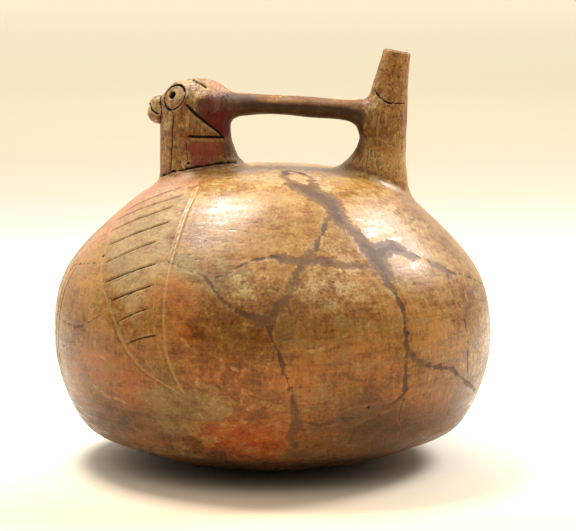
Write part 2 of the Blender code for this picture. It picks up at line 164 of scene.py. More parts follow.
def build_up(name: str, rings: Sequence[Ring], sides: int, lying: bool = False) -> bpy.types.Object:
    """Build a closed form from its first ring to its last one.

    Args:
        name: The new object's name.
        rings: The rings, in order.
        sides: How many points each ring has.
        lying: Whether the form runs along X instead of upwards.

    Returns:
        The new object, at the origin.
    """
    def centre(ring: Ring) -> Vector:
        """Return the middle of a ring, in metres."""
        middle = (ring.start + ring.end) / 2
        return Vector((ring.level, 0.0, middle) if lying else (middle, 0.0, ring.level)) * UNIT

    deselect()
    bpy.ops.mesh.primitive_circle_add(vertices=sides, radius=UNIT, fill_type='TRIFAN', enter_editmode=True)
    bpy.context.object.name = name
    if lying:
        bpy.ops.transform.rotate(value=math.pi / 2, orient_axis='Y', center_override=(0.0, 0.0, 0.0))
    before = Ring(0.0, -1.0, 1.0, 1.0)
    bpy.ops.transform.translate(value=centre(rings[0]))
    for number, ring in enumerate(rings):
        place = centre(ring)
        if number:
            bpy.ops.mesh.extrude_region_move(TRANSFORM_OT_translate={"value": place - centre(before)})
        long = (ring.end - ring.start) / (before.end - before.start)
        wide = ring.half / before.half
        bpy.ops.transform.resize(value=(long, wide, long), center_override=place)
        if ring.slope != before.slope:
            bpy.ops.transform.rotate(value=before.slope - ring.slope, orient_axis='Y', center_override=place)
        before = ring
    bpy.ops.mesh.select_all(action='SELECT')
    bpy.ops.mesh.normals_make_consistent(inside=False)
    bpy.ops.object.mode_set(mode='OBJECT')
    return bpy.context.object


def combine(target: bpy.types.Object, operand: bpy.types.Object, operation: str) -> None:
    """Join one object to another or cut it away.

    Args:
        target: The object that is changed.
        operand: The object that is joined or cut away, and then removed.
        operation: UNION or DIFFERENCE.
    """
    choose(target)
    modifier = target.modifiers.new(operation.title(), 'BOOLEAN')
    modifier.operation = operation
    modifier.solver = 'EXACT'
    modifier.object = operand
    bpy.ops.object.modifier_apply(modifier=modifier.name)
    bpy.data.objects.remove(operand, do_unlink=True)


@dataclass
class BodyForm:
    """The round body: its outline from the flat to the crown, as radius and height."""

    outline: tuple[tuple[float, float], ...] = (
        (29.0, 0.0), (50.4, 4.0), (67.05, 10.2), (77.4, 15.35), (87.03, 34.0), (90.0, 54.8), (85.14, 76.2),
        (65.8, 99.0), (46.4, 113.5), (24.1, 119.1), (0.0, 120.9),
    )
    middle: float = 54.8
    wall: float = 5.0
    sides: int = 220
    step: float = 2.45
    flat_steps: int = 40

    def __post_init__(self) -> None:
        """Work out the outline's reach from the body's middle at every angle."""
        curve = evenly(smooth_curve(self.outline, 24), 0.4)
        across_flat = np.linspace(0.0, self.outline[0][0], self.flat_steps, endpoint=False)
        curve = np.vstack([np.stack([across_flat, np.zeros(self.flat_steps)], axis=1), curve])
        along = np.gradient(curve, axis=0)
        across = np.stack([along[:, 1], -along[:, 0]], axis=1)
        across /= np.linalg.norm(across, axis=1)[:, None]
        ray = curve - (0.0, self.middle)
        self.angles = np.arctan2(ray[:, 1], ray[:, 0])
        self.reaches = np.linalg.norm(ray, axis=1)
        self.leans = (across * ray).sum(axis=1) / self.reaches
        self.curve = curve

    def distance(self, points: Points) -> Points:
        """Measure points against the body.

        Args:
            points: The points.

        Returns:
            How far outside the body each point is.
        """
        out = np.hypot(points[:, 0], points[:, 1])
        rise = points[:, 2] - self.middle
        angle = np.arctan2(rise, out)
        reach = np.interp(angle, self.angles, self.reaches)
        return (np.hypot(out, rise) - reach) * np.interp(angle, self.angles, self.leans)

    def radius(self, height: Points) -> Points:
        """Return the body's radius at a height."""
        return np.interp(height, self.curve[self.flat_steps:, 1], self.curve[self.flat_steps:, 0])

    def place(self, turn: Points, height: Points, side: int = NEAR) -> Points:
        """Return points on the body.

        Args:
            turn: Their degrees from the breast towards one side.
            height: Their heights.
            side: That side.

        Returns:
            The points, one per row.
        """
        angle = np.radians(turn)
        radius = self.radius(height)
        return np.stack([-radius * np.cos(angle), side * radius * np.sin(angle), height], axis=1)

    def turned(self, curve: Points, name: str, sides: int) -> bpy.types.Object:
        """Build the solid that an outline of radius and height gives when it is turned."""
        rings = [Ring(height, -radius, radius, radius) for radius, height in curve]
        return build_up(name, rings, sides)

    def build(self, name: str) -> bpy.types.Object:
        """Build the solid body.

        Args:
            name: The new object's name.

        Returns:
            The new object.
        """
        curve = evenly(self.curve, self.step)
        curve[0, 0] = 0.4
        curve[-1, 0] = 0.4
        return self.turned(curve, name, self.sides)

    def build_chamber(self) -> bpy.types.Object:
        """Build the space inside the body.

        Returns:
            The new object.
        """
        curve = evenly(self.curve, 3 * self.step)
        scale = 1.0 - self.wall / np.linalg.norm(curve - (0.0, self.middle), axis=1)[:, None]
        curve = (curve - (0.0, self.middle)) * scale + (0.0, self.middle)
        curve[0, 0] = 1.0
        curve[-1, 0] = 1.0
        return self.turned(curve, "chamber", 72)


@dataclass
class OvalForm:
    """A form of oval rings, such as the neck or the spout."""

    name: str
    rings: Sequence[Ring]
    sides: int = 72
    step: float = 1.2
    lying: bool = False
    cap: float = 0.8

    def __post_init__(self) -> None:
        """Draw smooth curves through the rings."""
        rows = [(ring.level, ring.start, ring.end, ring.half, ring.slope) for ring in self.rings]
        self.table = smooth_curve(rows, 16)

    def at(self, level: Points, column: int) -> Points:
        """Return one measure of the rings at each level."""
        return np.interp(level, self.table[:, 0], self.table[:, column])

    def distance(self, points: Points) -> Points:
        """Measure points against the form.

        Args:
            points: The points.

        Returns:
            About how far outside the form each point is.
        """
        run, out = (points[:, 0], points[:, 2]) if self.lying else (points[:, 2], points[:, 0])
        level = run
        for _ in range(2):
            middle = (self.at(level, START) + self.at(level, END)) / 2
            level = run + (out - middle) * np.tan(self.at(level, SLOPE))
        start, end, half = self.at(level, START), self.at(level, END), self.at(level, HALF)
        long = (end - start) / 2
        u = out - (start + end) / 2
        v = points[:, 1]
        share = np.hypot(u / long, v / half)
        slant = np.hypot(u / long ** 2, v / half ** 2)
        around = share * (share - 1) / np.maximum(slant, 1e-6)
        ends = np.maximum(level - self.table[-1, 0], self.table[0, 0] - level)
        return soft_most(around, ends, self.cap)

    def build(self) -> bpy.types.Object:
        """Build the form's solid."""
        rows = evenly(self.table, self.step)
        return build_up(self.name, [Ring(*row) for row in rows], self.sides, self.lying)


@dataclass
class BallForm:
    """A pellet of clay pressed on: a cheek or one half of the beak."""

    name: str
    centre: tuple[float, float, float]
    radii: tuple[float, float, float]

    def distance(self, points: Points) -> Points:
        """Measure points against the pellet.

        Args:
            points: The points.

        Returns:
            About how far outside the pellet each point is.
        """
        away = points - self.centre
        share = np.linalg.norm(away / self.radii, axis=1)
        slant = np.linalg.norm(away / np.square(self.radii), axis=1)
        return share * (share - 1) / np.maximum(slant, 1e-6)

    def build(self) -> bpy.types.Object:
        """Build the pellet by rings, from its lowest point to its highest one.

        Returns:
            The new object.
        """
        rings = []
        for angle in np.linspace(-1.47, 1.47, 18):
            long = self.radii[0] * math.cos(angle)
            rings.append(Ring(self.centre[2] + self.radii[2] * math.sin(angle), self.centre[0] - long,
                              self.centre[0] + long, self.radii[1] * math.cos(angle)))
        made = build_up(self.name, rings, 32)
        bpy.ops.object.mode_set(mode='EDIT')
        bpy.ops.transform.translate(value=(0.0, self.centre[1] * UNIT, 0.0))
        bpy.ops.object.mode_set(mode='OBJECT')
        return made


@dataclass
class EyeForm:
    """The flat patch that carries one eye, facing forwards, outwards and up."""

    side: int
    centre: tuple[float, float, float] = (-39.6, 8.8, 148.9)
    radius: float = 5.4
    rim: float = 0.7
    turn_deg: float = 49.0
    lift_deg: float = 23.5
    depth: float = 4.0
    pupil: float = 1.8

    def __post_init__(self) -> None:
        """Work out the eye's directions."""
        turn = math.radians(self.turn_deg)
        out = Vector((-math.cos(turn), self.side * math.sin(turn), math.tan(math.radians(self.lift_deg))))
        self.normal = np.array(out.normalized())
        self.middle = np.array((self.centre[0], self.side * self.centre[1], self.centre[2]))
        across = np.cross(self.normal, (0.0, 0.0, 1.0))
        self.across = -self.side * across / np.linalg.norm(across)
        self.up = np.cross(self.normal, self.across) * self.side
        self.pupil_place = self.middle + 0.12 * self.radius * self.up + 0.18 * self.radius * self.across
        self.top = 0.35 * self.rim

    def distance(self, points: Points) -> Points:
        """Measure points against the patch.

        Args:
            points: The points.

        Returns:
            How far outside the patch each point is.
        """
        away = points - self.middle
        height = away @ self.normal
        aside = np.hypot(away @ self.across, away @ self.up) - self.radius - self.rim
        return np.maximum(soft_most(aside, height - self.top, 0.6), -self.depth - height)

    def ring(self, radius: float, start_deg: float = 0.0, end_deg: float = 360.0) -> Points:
        """Return a ring around the eye's middle, or a stretch of it, just above the patch.

        Args:
            radius: The ring's radius.
            start_deg: Where it starts, from the head's back upwards.
            end_deg: Where it ends.

        Returns:
            The ring's points, one per row.
        """
        angles = np.radians(np.arange(start_deg, end_deg + 1, 7.5))
        ring = np.outer(np.cos(angles), self.across) + np.outer(np.sin(angles), self.up)
        return self.middle + radius * ring + self.top * self.normal

    def build(self) -> bpy.types.Object:
        """Build the patch as a short disc and turn it to face outwards.

        Returns:
            The new object.
        """
        reach = self.radius + self.rim
        rings = [Ring(-self.depth, -reach, reach, reach), Ring(-0.2 * self.rim, -reach, reach, reach),
                 Ring(self.top, 0.4 - reach, reach - 0.4, reach - 0.4)]
        made = build_up("eye", rings, 48)
        turn = Vector((0.0, 0.0, 1.0)).rotation_difference(Vector(self.normal)).to_matrix().to_4x4()
        turn.translation = Vector(self.middle) * UNIT
        made.matrix_world = turn
        choose(made)
        bpy.ops.object.transform_apply(location=True, rotation=True, scale=True)
        return made


def neck_rings() -> list[Ring]:
    """Return the rings of the neck and the head, from inside the shoulder to the top of the head."""
    return [
        Ring(111.2, -47.9, -7.2, 26.0), Ring(114.6, -46.6, -7.2, 22.7), Ring(117.7, -46.0, -7.9, 18.5),
        Ring(120.2, -46.0, -10.5, 15.3), Ring(122.1, -46.0, -12.1, 14.3), Ring(124.8, -46.0, -14.4, 13.4),
        Ring(130.0, -45.9, -16.3, 13.0), Ring(135.3, -45.9, -17.0, 13.0), Ring(140.6, -45.9, -16.9, 13.0),
        Ring(145.1, -45.6, -16.7, 12.9), Ring(149.0, -44.7, -17.3, 12.2), Ring(152.0, -42.2, -19.0, 10.7),
        Ring(154.1, -38.7, -21.8, 8.1), Ring(155.5, -34.7, -25.7, 4.7), Ring(156.1, -31.8, -28.6, 1.6),
    ]


def spout_rings() -> list[Ring]:
    """Draw the spout, from inside the shoulder to its lip: wide at its foot, and leaning back a little.

    Returns:
        The spout's rings.
    """
    rings = [Ring(106.1, 13.9, 55.7, 10.9)]
    foot, height, run, lean, radius_below = 120.9, 46.4, 44.6, 6.1, 9.9
    shape = (
        (-0.11, 0.95, 1.07), (-0.04, 0.60, 1.03), (0.02, 0.39, 1.00), (0.09, 0.19, 0.98), (0.18, 0.05, 0.95),
        (0.27, 0.00, 0.92), (0.45, 0.00, 0.865), (0.62, 0.00, 0.765), (0.80, 0.00, 0.645),
        (0.94, 0.00, 0.562), (1.00, 0.00, 0.545),
    )
    for rise, flare, radius in shape:
        up = max(rise, 0.0)
        centre = run + lean * up ** 1.6
        half = radius_below * radius
        rings.append(Ring(foot + height * rise, centre - half - 13.0 * flare, centre + half, half,
                          math.radians(10.5) * up))
    return rings


def bore_rings() -> list[Ring]:
    """Return the rings of the spout's bore, from its foot to above the lip, where it widens a little."""
    return [
        Ring(100.0, 35.4, 53.6, 8.5), Ring(110.7, 35.8, 53.4, 8.5), Ring(125.1, 36.6, 52.7, 7.3),
        Ring(140.4, 39.6, 52.8, 6.4, 0.09), Ring(160.0, 45.0, 53.9, 4.5, 0.16),
        Ring(166.3, 46.45, 54.7, 4.1, 0.18), Ring(167.6, 46.1, 55.4, 4.6, 0.18),
        Ring(170.0, 45.4, 56.6, 5.6, 0.18),
    ]


def bridge_rings() -> list[Ring]:
    """Draw the bridge, from inside the head to inside the spout: thick at both ends, and bowed a little.

    Returns:
        The bridge's rings.
    """
    start, end = -23.5, 46.3
    shape = (
        (0.00, 1.30, 1.30), (0.09, 1.26, 1.15), (0.16, 1.14, 1.04), (0.28, 1.00, 1.00), (0.55, 1.00, 1.00),
        (0.74, 1.00, 1.00), (0.79, 1.10, 1.03), (0.825, 1.34, 1.08), (0.85, 1.70, 1.12), (1.00, 1.80, 1.15),
    )
    rings = []
    for share, thick, wide in shape:
        middle = 146.2 - 4.5 * share + 0.6 * math.sin(math.pi * share)
        top = middle + 4.1 * (1 + 0.25 * (thick - 1))
        rings.append(Ring(start + share * (end - start), top - 8.2 * thick, top, 6.5 * wide))
    return rings


@dataclass
class Forms:
    """All the forms of the bottle, with how softly each one is melded to the clay below it."""

    neck_meld: float = 2.6
    spout_meld: float = 5.5
    bridge_meld: float = 3.4
    beak_meld: float = 0.6
    mouth_meld: float = 0.3
    pellet_meld: float = 0.8
    lip_round: float = 0.7
    voxel: float = 0.70

    def __post_init__(self) -> None:
        """Shape the forms, those of the head in pairs."""
        self.body = BodyForm()
        self.neck = OvalForm("neck_and_head", neck_rings(), 88, 1.1, cap=1.6)
        self.spout = OvalForm("spout", spout_rings(), 64, cap=1.0)
        self.bridge = OvalForm("bridge", bridge_rings(), 48, lying=True)
        self.bore = OvalForm("bore", bore_rings(), 48, 2.0)
        self.mouth = OvalForm("mouth", bore_rings()[3:], 48, 2.0)
        self.upper_beak = BallForm("upper_beak", (-44.6, 0, 145.8), (5.6, 5.0, 3.5))
        self.lower_beak = BallForm("lower_beak", (-45.6, 0, 142.0), (5.5, 4.4, 4.5))
        self.cheeks = [BallForm("cheek", (-27.0, side * 10.2, 146.8), (5.6, 6.0, 5.6))
                       for side in (NEAR, FAR)]
        self.eyes = [EyeForm(side) for side in (NEAR, FAR)]

    def distance(self, points: Points) -> Points:
        """Measure points against the finished clay.

        Args:
            points: The points.

        Returns:
            About how far outside the clay each point is, with the spout's mouth as open air.
        """
        away = soft_least(self.body.distance(points), self.neck.distance(points), self.neck_meld)
        away = soft_least(away, self.spout.distance(points), self.spout_meld)
        away = soft_least(away, self.bridge.distance(points), self.bridge_meld)
        beak = soft_least(self.upper_beak.distance(points), self.lower_beak.distance(points), self.mouth_meld)
        away = soft_least(away, beak, self.beak_meld)
        for form in (*self.cheeks, *self.eyes):
            away = soft_least(away, form.distance(points), self.pellet_meld)
        return soft_most(away, -self.mouth.distance(points), self.lip_round)

    def slope(self, points: Points, reach: float = 0.06) -> Points:
        """Measure how the distance grows.

        Args:
            points: The points.
            reach: How far to each side of a point it is compared.

        Returns:
            The direction in which it grows at each point, as long as its rate.
        """
        parts = []
        for axis in range(3):
            shift = np.zeros(3)
            shift[axis] = reach
            parts.append((self.distance(points + shift) - self.distance(points - shift)) / (2 * reach))
        return np.stack(parts, axis=1)

    def settle(self, points: Points, rounds: int = 4, limit: float = 0.8) -> Points:
        """Move points onto the finished clay's surface.

        Args:
            points: The points, near the surface.
            rounds: How many steps to take.
            limit: The longest step.

        Returns:
            The moved points.
        """
        for _ in range(rounds):
            slope = self.slope(points)
            size = np.maximum((slope ** 2).sum(axis=1), 0.05)
            step = slope * (self.distance(points) / size)[:, None]
            length = np.linalg.norm(step, axis=1)[:, None]
            points = points - step * np.minimum(1.0, limit / np.maximum(length, 1e-9))
        return points

    def beside(self, run: Points, height: Points, side: int) -> Points:
        """Return the surface's points at these places along X and Z, on one side.

        Args:
            run: The places along X.
            height: The heights.
            side: The side that is looked at.

        Returns:
            The points, one per row.
        """
        near = np.full(len(run), 0.5)
        for step in np.arange(1.0, 30.0, 0.5):
            inside = self.distance(np.stack([run, np.full(len(run), side * step), height], axis=1)) < 0
            near = np.where(inside, step, near)
        far = near + 0.5
        for _ in range(14):
            middle = (near + far) / 2
            inside = self.distance(np.stack([run, side * middle, height], axis=1)) < 0
            near = np.where(inside, middle, near)
            far = np.where(inside, far, middle)
        return np.stack([run, side * near, height], axis=1)

    def build(self, name: str) -> bpy.types.Object:
        """Build the solid bottle: its upper parts are fused, joined to the body, and the whole is hollowed.

        Args:
            name: The new object's name.

        Returns:
            The new object, whose attribute "held" marks the inside.
        """
        body = self.body.build(name)
        parts = [self.neck.build(), self.spout.build(), self.bridge.build(), self.upper_beak.build(),
                 self.lower_beak.build()]
        parts += [form.build() for form in (*self.cheeks, *self.eyes)]
        deselect()
        for part in parts:
            part.select_set(True)
        bpy.context.view_layer.objects.active = parts[0]
        bpy.ops.object.join()
        top = parts[0]
        fuse = top.modifiers.new("Fuse", 'REMESH')
        fuse.mode = 'VOXEL'
        fuse.voxel_size = self.voxel * UNIT
        bpy.ops.object.modifier_apply(modifier=fuse.name)
        combine(body, top, 'UNION')
        hollow = self.body.build_chamber()
        combine(hollow, self.neck_hollow().build(), 'UNION')
        combine(hollow, self.bore.build(), 'UNION')
        tree = BVHTree.FromObject(hollow, bpy.context.evaluated_depsgraph_get())
        combine(body, hollow, 'DIFFERENCE')
        self.mark_inside(body, tree)
        return body

    def mark_inside(self, piece: bpy.types.Object, hollow: BVHTree) -> None:
        """Mark the points of the inside, which stay as they are, but for the bore's mouth.

        Args:
            piece: The hollowed bottle.
            hollow: What was cut away.
        """
        held = []
        for vertex in piece.data.vertices:
            _, _, _, away = hollow.find_nearest(vertex.co)
            held.append(float(away < 0.01 * UNIT and vertex.co.z < 150 * UNIT))
        piece.data.attributes.new("held", 'FLOAT', 'POINT').data.foreach_set("value", held)

    def neck_hollow(self) -> OvalForm:
        """Return the space inside the neck."""
        rings = [Ring(103.0, -41.0, -22.0, 8.0), Ring(136.0, -41.0, -22.0, 8.0),
                 Ring(146.0, -38.6, -24.4, 6.0), Ring(149.0, -34.3, -28.7, 2.4)]
        return OvalForm("neck_hollow", rings, 32, 4.0)


class Tool(Enum):
    """The tools that marked the leather-hard clay: width, depth and burr of the cut, in mm."""

    GOUGE = (1.30, 0.85, 0.16)
    POINT = (1.15, 0.62, 0.14)
    FINE_POINT = (0.75, 0.40, 0.07)
    BLADE = (2.0, 0.36, 0.07)
    SCRATCH = (0.7, 0.10, 0.03)

    @property
    def width(self) -> float:
        """Return the width of the cut."""
        return self.value[0]

    @property
    def depth(self) -> float:
        """Return the depth of the cut."""
        return self.value[1]

    @property
    def burr(self) -> float:
        """Return the height of the clay pushed up beside the cut."""
        return self.value[2]


@dataclass
class Stroke:
    """One line drawn by one tool: how it fades at its ends, how hard it is pressed and how unevenly."""

    tool: Tool
    path: Points
    mark: str = "incised"
    fade: float = 2.0
    force: float = 1.0
    uneven: float = 0.3

    def across(self, points: Points) -> tuple[Points, Points, Points]:
        """Measure points against the stroke.

        Args:
            points: The points, near the stroke.

        Returns:
            Each point's distance from the stroke, its place along it and its nearest point on it.
        """
        return along_path(points, self.path)

    @property
    def length(self) -> float:
        """Return the stroke's length."""
        return float(np.linalg.norm(np.diff(self.path, axis=0), axis=1).sum())


def along_path(points: Points, path: Points) -> tuple[Points, Points, Points]:
    """Measure points against a polyline.

    Args:
        points: The points.
        path: The polyline, one point per row.

    Returns:
        Each point's distance from the polyline, its place along it and its nearest point on it.
    """
    start = path[:-1]
    step = np.diff(path, axis=0)
    length = np.linalg.norm(step, axis=1)
    reached = np.r_[0.0, np.cumsum(length)]
    best = np.full(len(points), np.inf)
    place = np.zeros(len(points))
    nearest = np.zeros((len(points), 3))
    for a, ab, size, before in zip(start, step, length, reached):
        share = np.clip(((points - a) @ ab) / size ** 2, 0.0, 1.0)
        foot = a + share[:, None] * ab
        away = np.linalg.norm(points - foot, axis=1)
        better = away < best
        best = np.where(better, away, best)
        place = np.where(better, before + share * size, place)
        nearest = np.where(better[:, None], foot, nearest)
    return best, place, nearest


def close_to(points: Points, path: Points, reach: float) -> Points:
    """Find the points near a path.

    Args:
        points: The points.
        path: The path, one point per row.
        reach: How far the path's box is grown.

    Returns:
        The numbers of the points in that box.
    """
    low = path.min(axis=0) - reach
    high = path.max(axis=0) + reach
    return np.nonzero(((points > low) & (points < high)).all(axis=1))[0]


@dataclass
class Wing:
    """One folded wing: its outlines by degrees from the breast and height, and its nine feather lines."""

    forms: Forms
    side: int
    leading: tuple = ((14, 99), (20.6, 95.6), (26, 91.4), (35.3, 80.7), (43.2, 71.4), (50.7, 56.3),
                      (56.3, 48.6), (62.9, 43.3), (67, 40))
    trailing: tuple = ((46, 115.2), (50.7, 112), (54, 106), (57.8, 94), (60.3, 80), (62, 65), (62.8, 57),
                       (64.8, 48.6), (67.6, 40.3))
    inner: tuple = ((53.9, 89), (57.4, 78), (58.7, 67.6), (60.3, 60.6), (61.4, 54.8), (63, 50.7))
    feathers: tuple = ((103.0, 35.0, 114.7), (99.4, 43.0, 112.2), (95.8, 43.4, 108.2), (91.8, 48.1, 103.1),
                       (85.7, 48.6, 96.0), (79.3, 53.7, 88.5), (73.2, 55.2, 80.8), (66.2, 56.1, 72.7),
                       (58.4, 59.5, 63.0))

    def on_body(self, line: Iterable[tuple[float, float]]) -> Points:
        """Draw a line on the clay.

        Args:
            line: The places that it passes through, by degrees and height.

        Returns:
            The line's points, one per row.
        """
        curve = smooth_curve([tuple(map(float, spot)) for spot in line], 10)
        path = self.forms.body.place(curve[:, 0], curve[:, 1], self.side)
        return self.forms.settle(evenly(path, 0.6), 4)

    def strokes(self) -> list[Stroke]:
        """Draw the wing's outlines and its feather lines, of which the rear ones are scratched twice.

        Returns:
            The strokes.
        """
        made = [Stroke(Tool.BLADE, self.on_body(self.leading), "broad", force=0.8),
                Stroke(Tool.BLADE, self.on_body(self.trailing), "broad"),
                Stroke(Tool.BLADE, self.on_body(self.inner), "broad", fade=8.0, force=0.55)]
        front = np.array(self.leading, dtype=float)
        for number, (low, turn, high) in enumerate(self.feathers):
            start = float(np.interp(-low, -front[:, 1], front[:, 0])) + (1.6 if low < 95 else -0.8)
            bow = (0.55 + 0.25 * math.sin(1.7 * number)) * (1.0 if number < 4 else 0.35)
            middle = ((start + turn) / 2, (low + high) / 2 + bow)
            path = self.on_body(((start, low), middle, (turn + 0.8, high)))
            made.append(Stroke(Tool.POINT, path, force=0.78 + 0.12 * math.cos(2.3 * number), fade=1.6))
            if number >= 5:
                second = self.on_body(((start + 3.0, low + 0.2), (turn - 3.5, high - 2.1)))
                made.append(Stroke(Tool.FINE_POINT, second, force=0.5, fade=4.0))
        return made

    def inside(self, turn: Points, height: Points) -> Points:
        """Measure places against the wing's outline.

        Args:
            turn: Their degrees from the breast, on this side.
            height: Their heights.

        Returns:
            How far inside the outline each place is, in mm.
        """
        front = np.array(self.leading[::-1], dtype=float)
        back = np.array(self.trailing[::-1], dtype=float)
        radius = self.forms.body.radius(height)
        ahead = (turn - np.interp(height, front[:, 1], front[:, 0])) * np.pi / 180 * radius
        behind = (np.interp(height, back[:, 1], back[:, 0]) - turn) * np.pi / 180 * radius
        return np.minimum(np.minimum(ahead, behind), np.minimum(height - 41.0, 117.0 - height))


@dataclass
class Face:
    """The lines of the head: throat, jaw, the panel on the neck, the mouth and the eyes, in X and Z."""

    forms: Forms
    throat: tuple = ((-39.9, 142.2), (-40.6, 137.0), (-40.9, 128.5), (-41.5, 120.2), (-42.0, 116.8))
    jaw: tuple = ((-35.0, 146.4), (-31.2, 142.7), (-26.6, 138.9), (-22.5, 135.6), (-19.2, 131.9))
    jaw_below: tuple = ((-31.8, 141.6), (-27.4, 137.6), (-23.6, 134.6))
    panel_top: tuple = ((-34.4, 133.5), (-27.0, 133.2), (-19.4, 132.7))
    panel_edge: tuple = ((-34.4, 132.1), (-27.0, 131.9), (-19.4, 131.2))
    panel_front: tuple = ((-35.1, 132.4), (-34.7, 127.0), (-34.0, 122.4))

    def beside(self, line: Sequence[tuple[float, float]], side: int) -> Points:
        """Draw a line on the head.

        Args:
            line: The places that it passes through, in X and Z.
            side: The side that it is drawn on.

        Returns:
            The line's points, one per row.
        """
        curve = evenly(smooth_curve(line, 8), 0.35)
        path = self.forms.beside(curve[:, 0], curve[:, 1], side)
        return self.forms.settle(path, 3)

    def mouth(self) -> Points:
        """Draw the mouth, round the beak from one corner to the other.

        Returns:
            The line's points, one per row.
        """
        path = []
        for turn in np.linspace(-84.0, 84.0, 41):
            angle = math.radians(turn)
            back = abs(math.sin(angle))
            path.append((-45.6 - 5.4 * math.cos(angle), 4.9 * math.sin(angle), 146.8 - 4.9 * back ** 1.3))
        return self.forms.settle(np.array(path), 8)

    def beak_seam(self, side: int) -> Points:
        """Draw the crease where the beak was pressed onto the face.

        Args:
            side: The side of the face.

        Returns:
            The line's points, one per row.
        """
        angles = np.radians(np.linspace(80.0, -84.0, 40))
        path = [(-45.4, side * 5.0 * math.cos(angle), 143.3 + 5.4 * math.sin(angle)) for angle in angles]
        return self.forms.settle(np.array(path), 8)

    def strokes(self) -> list[Stroke]:
        """Draw the face on both sides.

        Returns:
            The strokes.
        """
        made = [Stroke(Tool.FINE_POINT, self.mouth(), "face_cut", fade=1.0, force=1.3)]
        for side in (NEAR, FAR):
            made.append(Stroke(Tool.FINE_POINT, self.beak_seam(side), "face_cut", force=0.8))
            made.append(Stroke(Tool.POINT, self.beside(self.throat, side), force=0.75))
            made.append(Stroke(Tool.GOUGE, self.beside(self.jaw, side), "face_cut", force=1.0, fade=1.0))
            made.append(Stroke(Tool.FINE_POINT, self.beside(self.jaw_below, side), "broad", force=0.9))
            made.append(Stroke(Tool.FINE_POINT, self.beside(self.panel_edge, side), "broad", force=0.9))
            made.append(Stroke(Tool.GOUGE, self.beside(self.panel_top, side), "face_cut", 1.0, 0.95))
            made.append(Stroke(Tool.FINE_POINT, self.beside(self.panel_front, side), force=0.6))
        for eye in self.forms.eyes:
            for tool, start, end, force in ((Tool.FINE_POINT, 0, 360, 0.9), (Tool.GOUGE, 30, 165, 1.15),
                                            (Tool.GOUGE, 255, 345, 1.1)):
                ring = self.forms.settle(eye.ring(eye.radius, start, end), 4)
                made.append(Stroke(tool, ring, "face_cut", fade=0.0 if end == 360 else 2.5, force=force))
        return made


class Kind(Enum):
    """What the potter's kiln, the painter and the years left on the clay, with painted shade and painted
    highlights among them.
    """

    WARM = "fired orange"
    # The fire clouds' dark patches, which also carry painted shade under the bridge and along the bottom.
    SMOKE = "fire cloud"
    OLIVE = "greenish fire cloud"
    # Worn pale patches, which also carry painted highlights, painted reflections at the edges and a pale
    # crescent in each pupil.
    PALE = "worn pale"
    BLUSH = "pink wash"
    FLUSH = "red rubbed off the paint"


@dataclass(frozen=True)
class Cloud:
    """A soft patch: its place by degrees and height, its reach around and up, and its strength."""

    turn: float
    height: float
    around: float
    up: float
    strength: float


